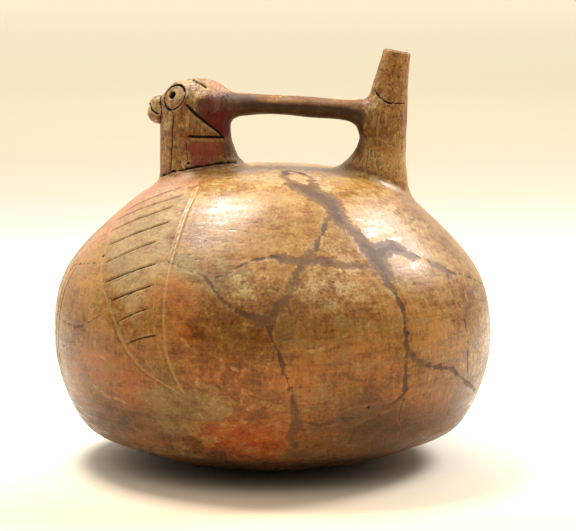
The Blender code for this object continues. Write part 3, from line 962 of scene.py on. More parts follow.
# Where each kind of patch is: the breast is at 0 degrees, the camera's side at 90 and the spout at 180.
CLOUDS = {
    Kind.WARM: (
        Cloud(78, 24, 20, 10, 0.95), Cloud(88, 18, 12, 8, 0.45), Cloud(67, 77, 8, 9, 0.35),
        Cloud(70, 64, 10, 10, 0.55), Cloud(78, 50, 14, 7, 0.55), Cloud(96, 50, 22, 12, 0.3),
        Cloud(50, 46, 14, 14, 0.35), Cloud(38, 42, 14, 9, 0.2), Cloud(128, 30, 20, 10, 0.3),
        Cloud(62, 79, 6, 5, 0.4), Cloud(30, 50, 10, 12, 0.3), Cloud(118, 45, 18, 12, 0.3),
        Cloud(250, 60, 26, 18, 0.6), Cloud(300, 30, 22, 10, 0.8), Cloud(205, 85, 20, 12, 0.4),
        Cloud(-60, 60, 9, 14, 0.5),
    ),
    Kind.OLIVE: (
        Cloud(67, 35, 13, 8, 0.75), Cloud(76, 38, 8, 6, 0.4), Cloud(59, 38, 9, 6, 0.4),
        Cloud(64, 25, 8, 7, 0.5), Cloud(42, 84, 7, 8, 0.5), Cloud(62, 89, 6, 3, 0.8),
        Cloud(69, 86, 6, 3, 0.8), Cloud(74, 81, 4, 5, 0.6), Cloud(78, 84, 10, 4, 0.5),
        Cloud(262, 40, 16, 9, 0.8),
    ),
    # The kiln's fire clouds; the broad low ones at 110 and 128 degrees also darken the bottom as painted
    # shade.
    Kind.SMOKE: (
        Cloud(52, 29, 14, 8, 0.6), Cloud(102, 66, 18, 6, 0.45), Cloud(88, 66, 12, 8, 0.25),
        Cloud(108, 30, 20, 9, 0.6), Cloud(128, 66, 16, 10, 0.3), Cloud(30, 20, 30, 7, 0.5),
        Cloud(42, 30, 14, 9, 0.45), Cloud(128, 22, 26, 12, 0.8), Cloud(38, 84, 7, 7, 0.30),
        Cloud(20, 72, 8, 9, 0.35), Cloud(30, 64, 7, 8, 0.15), Cloud(230, 40, 30, 12, 0.5),
        Cloud(270, 95, 16, 9, 0.4), Cloud(110, 8, 60, 6, 0.7),
    ),
    # Worn pale patches; the one at 136 degrees and 102 mm is a painted highlight, and those at the edges, at
    # 6 and 10 and at 152 to 165 degrees, are partly painted reflections.
    Kind.PALE: (
        Cloud(82, 82, 10, 5, 0.7), Cloud(47, 105, 4, 6, 1.0), Cloud(10, 58, 6, 26, 0.8),
        Cloud(160, 52, 6, 16, 0.7), Cloud(152, 46, 6, 7, 0.6), Cloud(165, 75, 8, 20, 0.2),
        Cloud(36, 92, 4, 6, 0.6), Cloud(118, 116, 5, 3, 0.8), Cloud(6, 84, 10, 14, 0.5),
        Cloud(77, 118, 24, 5, 0.6), Cloud(215, 60, 9, 14, 0.6), Cloud(136, 102, 18, 12, 0.6),
        Cloud(107, 82, 14, 8, 0.9),
    ),
    Kind.BLUSH: (
        Cloud(11, 111, 9, 6, 1.0), Cloud(18, 102, 9, 8, 1.0), Cloud(28, 112, 9, 4, 1.0),
        Cloud(13, 92, 8, 9, 0.6), Cloud(-20, 104, 16, 10, 0.8), Cloud(40, 116, 5, 3, 0.6),
        Cloud(112, 90, 6, 7, 0.35), Cloud(140, 100, 12, 8, 0.5),
    ),
}


@dataclass(frozen=True)
class HeadSpot:
    """A soft patch above the body, the same on both sides: its middle, its reach and its strength."""

    centre: tuple[float, float, float]
    reach: float
    strength: float


HEAD_SPOTS = {
    Kind.WARM: (
        HeadSpot((-36.0, 13.0, 141.0), 3.5, 0.4),
    ),
    # Painted shade under both ends of the bridge and beside the cheek, where the bridge and the head
    # overhang; the weak patches lower on the neck are the fire's dark clouds.
    Kind.SMOKE: (
        HeadSpot((-15.0, 7.0, 143.5), 5.0, 2.4), HeadSpot((-28.0, 15.5, 145.0), 4.0, 1.6),
        HeadSpot((-14.5, 7.0, 147.4), 3.4, 2.0), HeadSpot((-10.5, 6.0, 145.4), 4.0, 1.8),
        HeadSpot((-16.0, 5.0, 136.5), 4.0, 1.4), HeadSpot((-39.0, 12.0, 134.0), 5.0, 0.5),
        HeadSpot((-29.0, 13.0, 137.0), 4.0, 0.5), HeadSpot((-18.0, 8.5, 146.0), 3.2, 1.1),
        HeadSpot((38.0, 6.0, 140.0), 5.0, 0.5), HeadSpot((-22.0, 13.0, 126.5), 3.5, 0.5),
    ),
    Kind.PALE: (
        HeadSpot((-34.5, 6.0, 153.4), 5.0, 1.5), HeadSpot((-27.2, 8.0, 152.0), 2.4, 1.3),
        HeadSpot((-40.0, 9.6, 149.4), 4.8, 0.8), HeadSpot((-49.0, 3.0, 144.6), 5.0, 1.5),
        HeadSpot((-35.0, 13.2, 126.0), 1.6, 1.2), HeadSpot((-35.4, 13.2, 122.0), 1.8, 1.2),
        HeadSpot((42.4, 9.0, 148.6), 3.6, 1.6), HeadSpot((-43.5, 8.0, 138.0), 4.0, 0.9),
        HeadSpot((-30.0, 13.0, 150.0), 3.0, 1.0), HeadSpot((40.0, 9.0, 124.0), 6.0, 0.8),
    ),
    Kind.BLUSH: (
        HeadSpot((-24.5, 5.0, 153.4), 4.5, 1.0), HeadSpot((-18.0, 2.0, 149.8), 4.0, 0.8),
    ),
    Kind.FLUSH: (
        HeadSpot((-24.0, 15.5, 145.6), 4.2, 2.0), HeadSpot((-17.6, 8.0, 139.0), 4.4, 1.0),
        HeadSpot((-17.5, 8.0, 128.0), 4.0, 0.7), HeadSpot((-20.6, 11.0, 148.0), 3.0, 1.0),
    ),
}


# Scratches of use, which follow no design: each by degrees and height.
SCRATCHES = (
    ((35, 40), (41, 37), (50, 34)),
    ((39, 60), (40, 53), (45, 50)),
    ((60, 40), (62, 37), (63, 35)),
    ((67, 46), (67, 43), (68, 40)),
    ((75, 48), (79, 43)),
    ((79, 53), (83, 50)),
    ((66, 64), (70, 58)),
    ((36, 37), (44, 35), (47, 34)),
    ((97, 58), (104, 60), (110, 66)),
    ((110, 60), (116, 70)),
)


@dataclass(frozen=True)
class Mend:
    """A crack with its fill: places by degrees and height, with half the fill's width."""

    places: tuple[tuple[float, float, float], ...]


MENDS = (
    Mend(((98, 119, 1.7), (101, 118, 2.4), (104, 116, 3.8), (108, 115, 5.4), (113, 112.5, 5.6),
          (116, 109, 5.2), (116, 105, 4.2), (118, 102, 3.2), (120, 98, 2.9), (121, 95, 4.0), (123, 92, 5.0),
          (123, 89, 5.0))),
    Mend(((99, 119, 1.4), (113, 120, 1.4), (122, 119, 1.5), (116, 117, 2.0), (112, 114, 2.4))),
    Mend(((123, 89, 5.0), (123, 85, 3.4), (124, 78, 1.4), (125, 73, 1.3), (125, 67, 1.2), (125, 60, 1.2),
          (125, 54, 1.4), (125, 47, 1.0), (125, 41, 1.2), (124, 38, 1.2), (121, 35, 1.9), (118, 34, 2.5),
          (112, 31, 4.0), (108, 31, 3.4), (106, 30, 1.4), (102, 29, 0.9), (98, 31, 0.8))),
    Mend(((125, 37, 0.7), (125, 29, 0.4), (127, 25, 0.6), (128, 18, 0.4))),
    Mend(((113, 106, 2.1), (110, 104, 1.6), (107, 100, 1.0), (105, 97, 1.0), (103, 94, 1.4))),
    Mend(((74, 85, 0.5), (78, 87, 0.6), (82, 90, 0.6), (88, 92, 0.8), (92, 92, 1.9), (97, 91, 2.4),
          (102, 91, 2.5), (107, 90, 2.4), (112, 89, 2.4), (117, 88, 1.9), (121, 87, 1.6))),
    Mend(((58, 89, 0.3), (65, 87, 0.4), (71, 85, 0.5), (74, 81, 0.6), (78, 76, 0.8), (82, 73, 1.2),
          (86, 71, 2.4), (89, 70, 2.4), (89, 66, 0.8), (91, 60, 0.8), (92, 55, 1.0), (93, 50, 1.0),
          (94, 45, 1.2), (95, 40, 1.4), (96, 34, 2.1), (96, 28, 2.6), (95, 24, 2.1), (96, 20, 2.1),
          (94, 15, 2.8))),
    Mend(((93, 15, 2.5), (97, 16, 3.3), (101, 16, 2.9), (105, 14, 1.6))),
    Mend(((102, 94, 2.5), (100, 91, 2.1), (97, 87, 1.9), (95, 82, 1.9), (93, 77, 2.4), (89, 72, 2.8))),
    Mend(((88, 85, 0.4), (89, 83, 0.4), (92, 80, 0.4))),
    Mend(((123, 92, 4.4), (129, 94, 3.8), (134, 92.5, 3.6), (137, 90, 2.6), (141, 89, 1.0), (144, 86, 2.1),
          (147, 84, 2.3), (150, 82, 1.0), (156, 80, 0.6), (163, 77, 0.6), (174, 73, 0.5), (188, 71, 0.8),
          (203, 66, 1.2), (220, 63, 0.8), (236, 58, 1.0), (252, 60, 1.6))),
    Mend(((148, 82, 0.5), (146, 75, 0.5), (148, 67, 0.5), (149, 59, 0.5), (149, 50, 0.6), (151, 42, 0.5))),
    Mend(((126, 54, 1.9), (128, 52, 1.9), (135, 48, 1.2), (141, 46, 1.0), (146, 42, 0.8), (154, 36, 0.8),
          (161, 32, 0.5))),
    Mend(((150, 103, 0.3), (155, 101, 0.3))),
    Mend(((13, 82, 0.3), (24, 84, 0.3), (32, 86, 0.3))),
    Mend(((19, 61, 0.3), (31, 61, 0.4), (36, 64, 0.4), (41, 68, 0.3))),
    Mend(((20, 51, 0.3), (28, 54, 0.3))),
    Mend(((232, 108, 1.2), (229, 98, 2.0), (231, 84, 1.1), (236, 72, 0.8), (237, 58, 1.0), (232, 44, 0.7),
          (234, 30, 0.6), (231, 17, 0.5))),
    Mend(((252, 60, 1.6), (262, 66, 1.4), (274, 70, 0.6), (290, 71, 0.5))),
    Mend(((203, 66, 1.0), (206, 52, 0.6), (202, 38, 0.6), (205, 22, 0.5))),
)


@dataclass(frozen=True)
class Paint:
    """A field of red slip on the side of the head, by its corners in X and Z."""

    corners: tuple[tuple[float, float], ...]

    def distance(self, points: Points) -> Points:
        """Measure points against the field, seen from the side.

        Args:
            points: The points.

        Returns:
            How far outside the field each point is.
        """
        spots = points[:, (0, 2)]
        corners = np.array(self.corners, dtype=float)
        best = np.full(len(spots), np.inf)
        inside = np.zeros(len(spots), dtype=bool)
        for a, b in zip(corners, np.roll(corners, -1, axis=0)):
            ab = b - a
            share = np.clip(((spots - a) @ ab) / (ab @ ab), 0.0, 1.0)
            best = np.minimum(best, np.linalg.norm(spots - a - share[:, None] * ab, axis=1))
            crosses = (a[1] > spots[:, 1]) != (b[1] > spots[:, 1])
            rise = b[1] - a[1] if b[1] != a[1] else 1e-9
            inside ^= crosses & (spots[:, 0] < a[0] + (spots[:, 1] - a[1]) * ab[0] / rise)
        return np.where(inside, -best, best)


TRIANGLE = Paint(((-28.6, 141.8), (-24.6, 142.6), (-20.4, 144.2), (-17.6, 142.6), (-17.0, 138.0),
                  (-18.8, 132.6), (-22.5, 136.2), (-26.0, 139.2)))
PANEL = Paint(((-35.0, 133.4), (-20.0, 132.6), (-18.5, 129.0), (-22.5, 123.6), (-34.0, 121.4)))


@dataclass(frozen=True)
class Pit:
    """A hole where a grain fell out of the clay: its place by degrees and height, its radius and depth."""

    turn: float
    height: float
    radius: float
    depth: float


PITS = (
    Pit(61, 31, 0.8, 0.5), Pit(86, 26, 0.7, 0.5), Pit(115, 35, 0.7, 0.4), Pit(135, 61, 0.6, 0.4),
    Pit(74, 74, 0.6, 0.3), Pit(69, 49, 0.6, 0.4), Pit(76, 27, 0.8, 0.4), Pit(29, 88, 0.8, 0.4),
    Pit(21, 90, 0.7, 0.4), Pit(104, 72, 0.5, 0.3), Pit(141, 38, 0.6, 0.4), Pit(110, 58, 0.5, 0.3),
    Pit(212, 84, 0.7, 0.4), Pit(246, 42, 0.8, 0.5), Pit(281, 52, 0.6, 0.4), Pit(310, 70, 0.6, 0.4),
)


# Pits of the neck, the head and the spout, as the camera sees them: X, Z and radius.
HEAD_PITS = (
    (-44.6, 131.2, 0.62), (-38.9, 131.3, 0.40), (-34.0, 120.8, 0.70), (-28.4, 122.4, 0.35),
    (-17.6, 124.6, 0.5), (-43.2, 117.2, 0.5), (48.9, 153.2, 0.55), (48.6, 151.0, 0.5), (-20.4, 127.0, 0.3),
    (-23.0, 129.6, 0.3),
)


class Skin:
    """The bottle's surface as points in mm, while it is refined, carved and marked."""

    def __init__(self, piece: bpy.types.Object, forms: Forms) -> None:
        """Read the built bottle.

        Args:
            piece: The bottle's object.
            forms: The forms that it was built from.
        """
        self.piece = piece
        self.forms = forms
        self.read()

    def read(self) -> None:
        """Read the points, and which of them are on the outside."""
        mesh = self.piece.data
        values = np.zeros(len(mesh.vertices) * 3)
        mesh.vertices.foreach_get("co", values)
        self.points = values.reshape(-1, 3) / UNIT
        held = np.zeros(len(mesh.vertices))
        mesh.attributes["held"].data.foreach_get("value", held)
        self.free = held < 0.5

    def write(self) -> None:
        """Put the points back into the mesh."""
        mesh = self.piece.data
        mesh.vertices.foreach_set("co", (self.points * UNIT).ravel())
        mesh.update()

    def settle(self, rounds: int = 4) -> None:
        """Move the outside onto the finished clay."""
        self.points[self.free] = self.forms.settle(self.points[self.free], rounds)

    def relax(self, where: Points, rounds: int) -> None:
        """Spread the chosen points evenly over the surface.

        Args:
            where: Which points may move.
            rounds: How often each one moves towards its neighbours.
        """
        mesh = self.piece.data
        ends = np.zeros(len(mesh.edges) * 2, dtype=np.int64)
        mesh.edges.foreach_get("vertices", ends)
        a, b = ends[::2], ends[1::2]
        count = np.bincount(ends, minlength=len(self.points)).astype(float)
        where = where & self.free
        size = len(self.points)
        for _ in range(rounds):
            middle = np.stack([np.bincount(a, column[b], size) + np.bincount(b, column[a], size)
                               for column in self.points.T], axis=1)
            middle /= np.maximum(count, 1.0)[:, None]
            self.points[where] += 0.5 * (middle[where] - self.points[where])
            self.points[where] = self.forms.settle(self.points[where], 1)

    def refine(self, fineness: Callable[[Points], Points]) -> None:
        """Divide the outside's faces once wherever they are coarser than they may be.

        Args:
            fineness: Gives the largest size that a face may have at each place, in mm.
        """
        self.write()
        mesh = self.piece.data
        faces = len(mesh.polygons)
        centres = np.zeros(faces * 3)
        areas = np.zeros(faces)
        mesh.polygons.foreach_get("center", centres)
        mesh.polygons.foreach_get("area", areas)
        centres = centres.reshape(-1, 3) / UNIT
        outside = np.ones(faces, dtype=bool)
        corner_face = np.repeat(np.arange(faces), [len(polygon.vertices) for polygon in mesh.polygons])
        corner_point = np.zeros(len(mesh.loops), dtype=np.int64)
        mesh.loops.foreach_get("vertex_index", corner_point)
        outside[corner_face[~self.free[corner_point]]] = False
        chosen = np.zeros(faces, dtype=bool)
        chosen[outside] = np.sqrt(areas[outside]) / UNIT > fineness(centres[outside])
        choose(self.piece)
        bpy.ops.object.mode_set(mode='EDIT')
        bpy.ops.mesh.select_mode(type='FACE')
        bpy.ops.mesh.select_all(action='DESELECT')
        bpy.ops.object.mode_set(mode='OBJECT')
        mesh.polygons.foreach_set("select", chosen)
        bpy.ops.object.mode_set(mode='EDIT')
        bpy.ops.mesh.subdivide(number_cuts=1)
        bpy.ops.object.mode_set(mode='OBJECT')
        self.read()
        self.settle(3)

    def catch(self, stroke: Stroke, reach: float) -> None:
        """Draw the points closest to a stroke onto it, so that its bottom is a clean line.

        Args:
            stroke: The stroke.
            reach: How close a point has to be.
        """
        numbers = close_to(self.points, stroke.path, reach)
        numbers = numbers[self.free[numbers]]
        away, _, nearest = stroke.across(self.points[numbers])
        caught = away < reach
        self.points[numbers[caught]] = nearest[caught]


@dataclass
class Bottle:
    """The whole bottle: its forms, its carving, its mends and its paint."""

    forms: Forms = field(default_factory=Forms)
    line_reach: float = 4.0
    mend_reach: float = 6.0
    body_catch: float = 0.26
    head_catch: float = 0.16
    finest: float = 0.42
    # How close to a line, and how large a face may be there.
    body_fineness: tuple = ((1.5, 0.80), (3.0, 1.6))
    head_fineness: tuple = ((0.75, 0.42), (1.6, 0.8))
    edge_fineness: tuple = (0.9, 0.85)
    fill_fineness: tuple = (1.8, 1.6)
    beak_from: float = -46.5
    lip_from: float = 163.5
    lip_top: float = 166.0
    upper_from: float = 108.0

    def __post_init__(self) -> None:
        """Draw every stroke and every mend."""
        self.wings = [Wing(self.forms, side) for side in (NEAR, FAR)]
        self.face = Face(self.forms)
        self.body_strokes = [stroke for wing in self.wings for stroke in wing.strokes()]
        for side in (NEAR, FAR):
            breast = self.forms.body.place(np.full(60, 13.0), np.linspace(86.0, 15.0, 60), side)
            self.body_strokes.append(Stroke(Tool.BLADE, breast, "broad", force=0.8, fade=6.0))
            beside = self.forms.body.place(np.full(60, 15.8), np.linspace(84.0, 28.0, 60), side)
            self.body_strokes.append(Stroke(Tool.FINE_POINT, beside, force=0.55, fade=8.0, uneven=0.8))
        for scratch in SCRATCHES:
            line = self.wings[0].on_body(scratch)
            self.body_strokes.append(Stroke(Tool.SCRATCH, line, "broad", force=0.7, fade=3.0, uneven=1.5))
        self.head_strokes = self.face.strokes() + self.neck_foot() + self.scars()
        self.mends = [self.mend_path(mend) for mend in MENDS]

    def neck_foot(self) -> list[Stroke]:
        """Draw the crease where the neck's clay was pressed onto the shoulder, on both sides.

        Returns:
            The strokes.
        """
        near = ((-46.5, -4.0, 116.0), (-43.0, -9.5, 118.0), (-36.0, -13.8, 120.2), (-27.5, -14.0, 121.7),
                (-20.0, -11.0, 122.2), (-14.5, -6.0, 121.8))
        made = []
        for side in (NEAR, FAR):
            spots = [(x, -side * y, z) for x, y, z in near]
            path = self.forms.settle(evenly(smooth_curve(spots, 8), 0.4), 6)
            wander = np.array([noise.noise_vector(Vector(spot) * 0.35) for spot in path])
            path = self.forms.settle(path + 0.45 * wander, 3)
            made.append(Stroke(Tool.POINT, path, "face_cut", force=0.8, fade=4.0, uneven=1.4))
        return made

    def scars(self) -> list[Stroke]:
        """Draw the scratch over the crown and the crack in the spout.

        Returns:
            The strokes.
        """
        crown = self.seen(((-32.8, 155.9), (-32.1, 155.5), (-28.6, 153.0), (-26.4, 151.6)))
        spout = self.seen(((41.2, 151.0), (43.6, 147.6), (46.0, 145.8), (49.5, 145.2), (53.8, 145.6)))
        wander = np.array([noise.noise_vector(Vector(spot) * 0.6) for spot in spout])
        spout = self.forms.settle(spout + 0.7 * wander, 3)
        return [Stroke(Tool.GOUGE, crown, "face_cut", force=1.0, fade=1.2),
                Stroke(Tool.FINE_POINT, spout, "face_cut", force=0.9, fade=1.5, uneven=0.9)]

    def seen(self, line: Sequence[tuple[float, float]]) -> Points:
        """Put a line of the outline's plane onto the side that the camera sees.

        Args:
            line: The places that it seems to pass through, in X and Z.

        Returns:
            The line's points on the clay, one per row.
        """
        curve = evenly(smooth_curve(line, 8), 0.35)
        height = curve[:, 1]
        for _ in range(3):
            path = self.forms.beside(curve[:, 0], height, NEAR)
            height = curve[:, 1] + math.tan(Studio.rise) * np.abs(path[:, 1])
        return self.forms.settle(path, 4)

    def mend_path(self, mend: Mend) -> tuple[Points, Points]:
        """Lay a mend over the clay, with a long and a short waver.

        Args:
            mend: The mend.

        Returns:
            Its path, one point per row, and half its width along the path.
        """
        curve = smooth_curve(mend.places, 8)
        path = self.forms.settle(self.forms.body.place(curve[:, 0], curve[:, 1]), 4)
        wander = np.array([noise.noise_vector(Vector(spot) * 0.12) + noise.noise_vector(Vector(spot) * 0.4)
                           for spot in path])
        half = curve[:, 2] * np.interp(curve[:, 2], (0.5, 2.5), (0.8, 1.0))
        return self.forms.settle(path + 0.5 * wander, 3), half

    def fineness(self, places: Points) -> Points:
        """Say how fine the faces have to be.

        Args:
            places: The faces' middles.

        Returns:
            The largest size that a face may have at each place, in mm.
        """
        size = np.full(len(places), 99.0)

        def limit(numbers: Points, largest: float) -> None:
            """Let the faces with these numbers be no larger than this."""
            size[numbers] = np.minimum(size[numbers], largest)

        for strokes, rows in ((self.body_strokes, self.body_fineness),
                              (self.head_strokes, self.head_fineness)):
            for stroke in strokes:
                numbers = close_to(places, stroke.path, 3.0)
                away = along_path(places[numbers], stroke.path)[0]
                for reach, largest in rows:
                    limit(numbers[away < reach], largest)
        for path, half in self.mends:
            numbers = close_to(places, path, self.mend_reach)
            away, along, _ = along_path(places[numbers], path)
            edge = away - self.half_at(path, half, along)
            limit(numbers[np.abs(edge) < self.edge_fineness[0]], self.edge_fineness[1])
            limit(numbers[edge < self.fill_fineness[0]], self.fill_fineness[1])
        for eye in self.forms.eyes:
            limit(np.linalg.norm(places - eye.middle, axis=1) < eye.radius + 0.9, self.finest)
        limit(places[:, 2] > self.lip_from, self.finest)
        beak = (places[:, 0] < self.beak_from) & (self.forms.body.distance(places) > 1.5)
        limit(beak, self.finest)
        return size

    @staticmethod
    def half_at(path: Points, half: Points, along: Points) -> Points:
        """Return half a mend's width.

        Args:
            path: The mend's path.
            half: Half its width at each point of the path.
            along: How far along the path it is asked for.

        Returns:
            Half the width at each of these places.
        """
        reached = np.r_[0.0, np.cumsum(np.linalg.norm(np.diff(path, axis=0), axis=1))]
        return np.interp(along, reached, half)

    def parts(self, points: Points) -> tuple[Points, Points, Points]:
        """Share points out between the bottle's parts.

        Args:
            points: The points.

        Returns:
            How much each one belongs to the body, to the neck or spout, and to the bridge, from 0 to 1.
        """
        away = self.forms.body.distance(points)
        on_body = 1.0 - ease(away, 1.0, 4.5)
        between = ease(points[:, 0], -15.0, -11.0) * (1 - ease(points[:, 0], 34.0, 38.0))
        lying = between * ease(away, 6.0, 10.0)
        return on_body, (1 - on_body) * (1 - lying), lying

    def lift(self, points: Points) -> Points:
        """Measure the unevenness of the hand-made surface, before any line.

        Args:
            points: The points.

        Returns:
            How far it stands above the drawn surface at each point.
        """
        on_body, standing, lying = self.parts(points)
        lifted = np.zeros(len(points))
        for i, (x, y, z) in enumerate(points):
            # Long swells of the coils, shorter ones of the scraper, and the fingers' dents.
            value = 0.40 * noise.noise(Vector((x, y, z * 1.3)) / 46.0)
            value += 0.13 * noise.noise(Vector((x, y, z)) / 17.0)
            value *= 0.35 + 0.65 * on_body[i]
            value += 0.07 * noise.noise(Vector((x, y, z * 1.8)) / 7.0)
            # The neck and the spout were pulled upwards, the bridge lengthwise.
            if standing[i] > 0.01:
                value += standing[i] * 0.24 * noise.noise(Vector((x / 3.0, y / 3.0, z / 24.0)))
                value += standing[i] * 0.16 * noise.noise(Vector((x / 1.6, y / 1.6, z / 7.0)))
            if lying[i] > 0.01:
                place = Vector((x / 15.0, y / 3.4, z / 3.4)) + Vector((2, 9, 4))
                value += lying[i] * 0.34 * noise.noise(place)
            lifted[i] = value
        # The shoulder is a little fuller in front than at the back.
        shoulder = np.exp(-((points[:, 2] - 82.0) / 16.0) ** 2) * on_body
        lifted += shoulder * np.where(points[:, 0] < 0, 0.42, -0.38) * np.abs(points[:, 0]) / 90.0
        return lifted

    def cut_strokes(self, skin: Skin, marks: dict[str, Points]) -> tuple[Points, Points]:
        """Work out the depth of every stroke, and mark its painted shade and its painted light edge.

        Args:
            skin: The refined surface.
            marks: The marks so far, which are added to.

        Returns:
            How deep each point is cut, and how high the clay beside a cut stands there.
        """
        points = skin.points
        cut = np.zeros(len(points))
        burr = np.zeros(len(points))
        for name in ("incised", "face_cut", "rim", "broad"):
            marks[name] = np.full(len(points), self.line_reach)
        for stroke in self.body_strokes + self.head_strokes:
            numbers = close_to(points, stroke.path, self.line_reach)
            numbers = numbers[skin.free[numbers]]
            away, along, nearest = stroke.across(points[numbers])
            ends = np.minimum(along, stroke.length - along)
            strength = np.ones(len(numbers)) if stroke.fade == 0 else ease(ends, -0.3, stroke.fade)
            waver = np.array([noise.noise(Vector(spot) * 0.45) for spot in nearest])
            strength = strength * stroke.force * (1 + stroke.uneven * waver)
            width = stroke.tool.width
            # A broad cut is shallow and open, and is coloured pale: light clay in the scratches, and a
            # painted highlight along the other broad lines; the others are steep, and are coloured dark
            # inside as painted shade.
            open_cut = stroke.mark == "broad"
            share = np.clip(1 - (2 * away / width) ** 2, 0.0, 1.0)
            shape = share ** (1.3 if open_cut else 0.8)
            cut[numbers] = np.maximum(cut[numbers], stroke.tool.depth * shape * strength)
            beside = np.exp(-((away - 0.72 * width) / (0.28 * width)) ** 2)
            burr[numbers] = np.maximum(burr[numbers], stroke.tool.burr * beside * strength)
            spread = away + 0.8 * (1 - strength) if open_cut else away - 0.40 * width * strength
            marks[stroke.mark][numbers] = np.minimum(marks[stroke.mark][numbers], spread)
            # A painted highlight: a pale edge mostly below each cut, where its lower wall faces the light
            # from above.
            if not open_cut:
                above = ease(points[numbers, 2] - nearest[:, 2], -0.4 * width, 0.0)
                rim = np.abs(away - 0.5 * width - 0.30) + 0.8 * above + 1.5 * (1 - np.minimum(strength, 1.0))
                marks["rim"][numbers] = np.minimum(marks["rim"][numbers], rim)
        return cut, burr

    def cut_mends(self, skin: Skin, marks: dict[str, Points]) -> Points:
        """Sink the mends a little below the clay and mark them.

        Args:
            skin: The refined surface.
            marks: The marks so far, which are added to.

        Returns:
            How deep each point lies below the clay.
        """
        points = skin.points
        mend = np.full(len(points), self.mend_reach)
        wide = np.zeros(len(points))
        for path, half in self.mends:
            numbers = close_to(points, path, self.mend_reach)
            numbers = numbers[skin.free[numbers]]
            away, along, _ = along_path(points[numbers], path)
            width = self.half_at(path, half, along)
            jag = np.array([0.75 * noise.noise(Vector(p) / 2.0) + 0.9 * noise.noise(Vector(p) / 5.0)
                            for p in points[numbers]])
            # The ragged edge never closes the fill, which keeps at least half its width.
            edge = np.minimum(away - width + jag * np.minimum(width, 1.2), away - 0.5 * width)
            nearer = edge < mend[numbers]
            mend[numbers[nearer]] = edge[nearer]
            wide[numbers[nearer]] = width[nearer]
        narrow = 1 - ease(wide, 1.0, 2.2)
        filled = 1 - ease(mend, -0.5, 0.35)
        rim = np.exp(-((mend - 0.1) / 0.45) ** 2)
        marks["mend"] = mend
        marks["crack"] = mend + 3.0 * (1 - narrow)
        # A light band along each fill's edge: clay exposed by chips, and a painted highlight where the edge
        # catches the light.
        marks["chipped_and_highlight"] = np.abs(mend - 0.40)
        marks["core"] = mend + 1.1
        return filled * (0.07 + 0.09 * narrow) - 0.02 * rim

    def cut_pits(self, points: Points, marks: dict[str, Points]) -> Points:
        """Work out the depth of the pits and the pupils, and mark them.

        Args:
            points: The refined surface's points.
            marks: The marks so far, which are added to.

        Returns:
            How deep each point lies below the clay.
        """
        forms = self.forms
        places = [(forms.body.place(np.array([pit.turn]), np.array([pit.height]))[0], pit.radius,
                   pit.depth, 2) for pit in PITS]
        places += [(self.seen(((x, z), (x + 0.4, z)))[0], radius, 0.8 * radius, 2)
                   for x, z, radius in HEAD_PITS]
        places += [(eye.pupil_place, eye.pupil, 2.1, 4) for eye in forms.eyes]
        marks["pit"] = np.full(len(points), self.line_reach)
        cut = np.zeros(len(points))
        for place, radius, depth, steep in places:
            away = np.linalg.norm(points - forms.settle(np.array(place)[None], 4)[0], axis=1)
            cut += depth * np.clip(1 - (away / radius) ** steep, 0.0, 1.0)
            marks["pit"] = np.minimum(marks["pit"], away - 0.95 * radius)
        return cut

    def carve(self, skin: Skin) -> dict[str, Points]:
        """Cut the lines and work the mends and pits into the surface.

        Args:
            skin: The refined surface.

        Returns:
            The marks that the finishes read, as one number per point.
        """
        for stroke in self.body_strokes:
            skin.catch(stroke, self.body_catch)
        for stroke in self.head_strokes:
            skin.catch(stroke, self.head_catch)
        marks: dict[str, Points] = {}
        cut, burr = self.cut_strokes(skin, marks)
        cut += self.cut_mends(skin, marks)
        cut += self.cut_pits(skin.points, marks)
        for eye in self.forms.eyes:
            away = np.linalg.norm(skin.points - eye.pupil_place, axis=1)
            burr += 0.20 * np.exp(-((away - 2.0) / 0.4) ** 2) + 0.18 * np.exp(-(away / 4.2) ** 2)
        normal = self.forms.slope(skin.points)
        normal /= np.maximum(np.linalg.norm(normal, axis=1), 1e-9)[:, None]
        move = np.where(skin.free, self.lift(skin.points) + burr - cut, 0.0)
        marks.update(self.paint_marks(skin.points, normal))
        skin.points = skin.points + normal * move[:, None]
        skin.points[:, 2] = np.maximum(skin.points[:, 2], 0.0)
        return marks

    def paint_marks(self, points: Points, normal: Points) -> dict[str, Points]:
        """Say where the paint, the wings, the kiln's clouds and the painted shade and highlights are.

        Args:
            points: The surface's points, before they are carved.
            normal: The clay's direction at each point.

        Returns:
            The marks by name, as one number per point.
        """
        on_body, standing, lying = self.parts(points)
        # The slip was brushed on from the sides, so it ends where the clay turns away from them.
        inwards = 3.0 * (1 - ease(np.abs(normal[:, 1]), 0.10, 0.35)) + 8.0 * on_body
        turn = np.degrees(np.arctan2(-points[:, 1], -points[:, 0]))
        radius = np.hypot(points[:, 0], points[:, 1])
        wing = self.wings[0].inside(np.abs(turn), points[:, 2]) - 9.0 * (1 - ease(points[:, 2], 66.0, 98.0))
        marks = {"triangle": np.clip(TRIANGLE.distance(points) + inwards, -8.0, 8.0),
                 "red": np.clip(PANEL.distance(points) + inwards, -8.0, 8.0),
                 "wing": np.clip(wing, -6.0, 6.0), "standing": standing, "lying": lying}
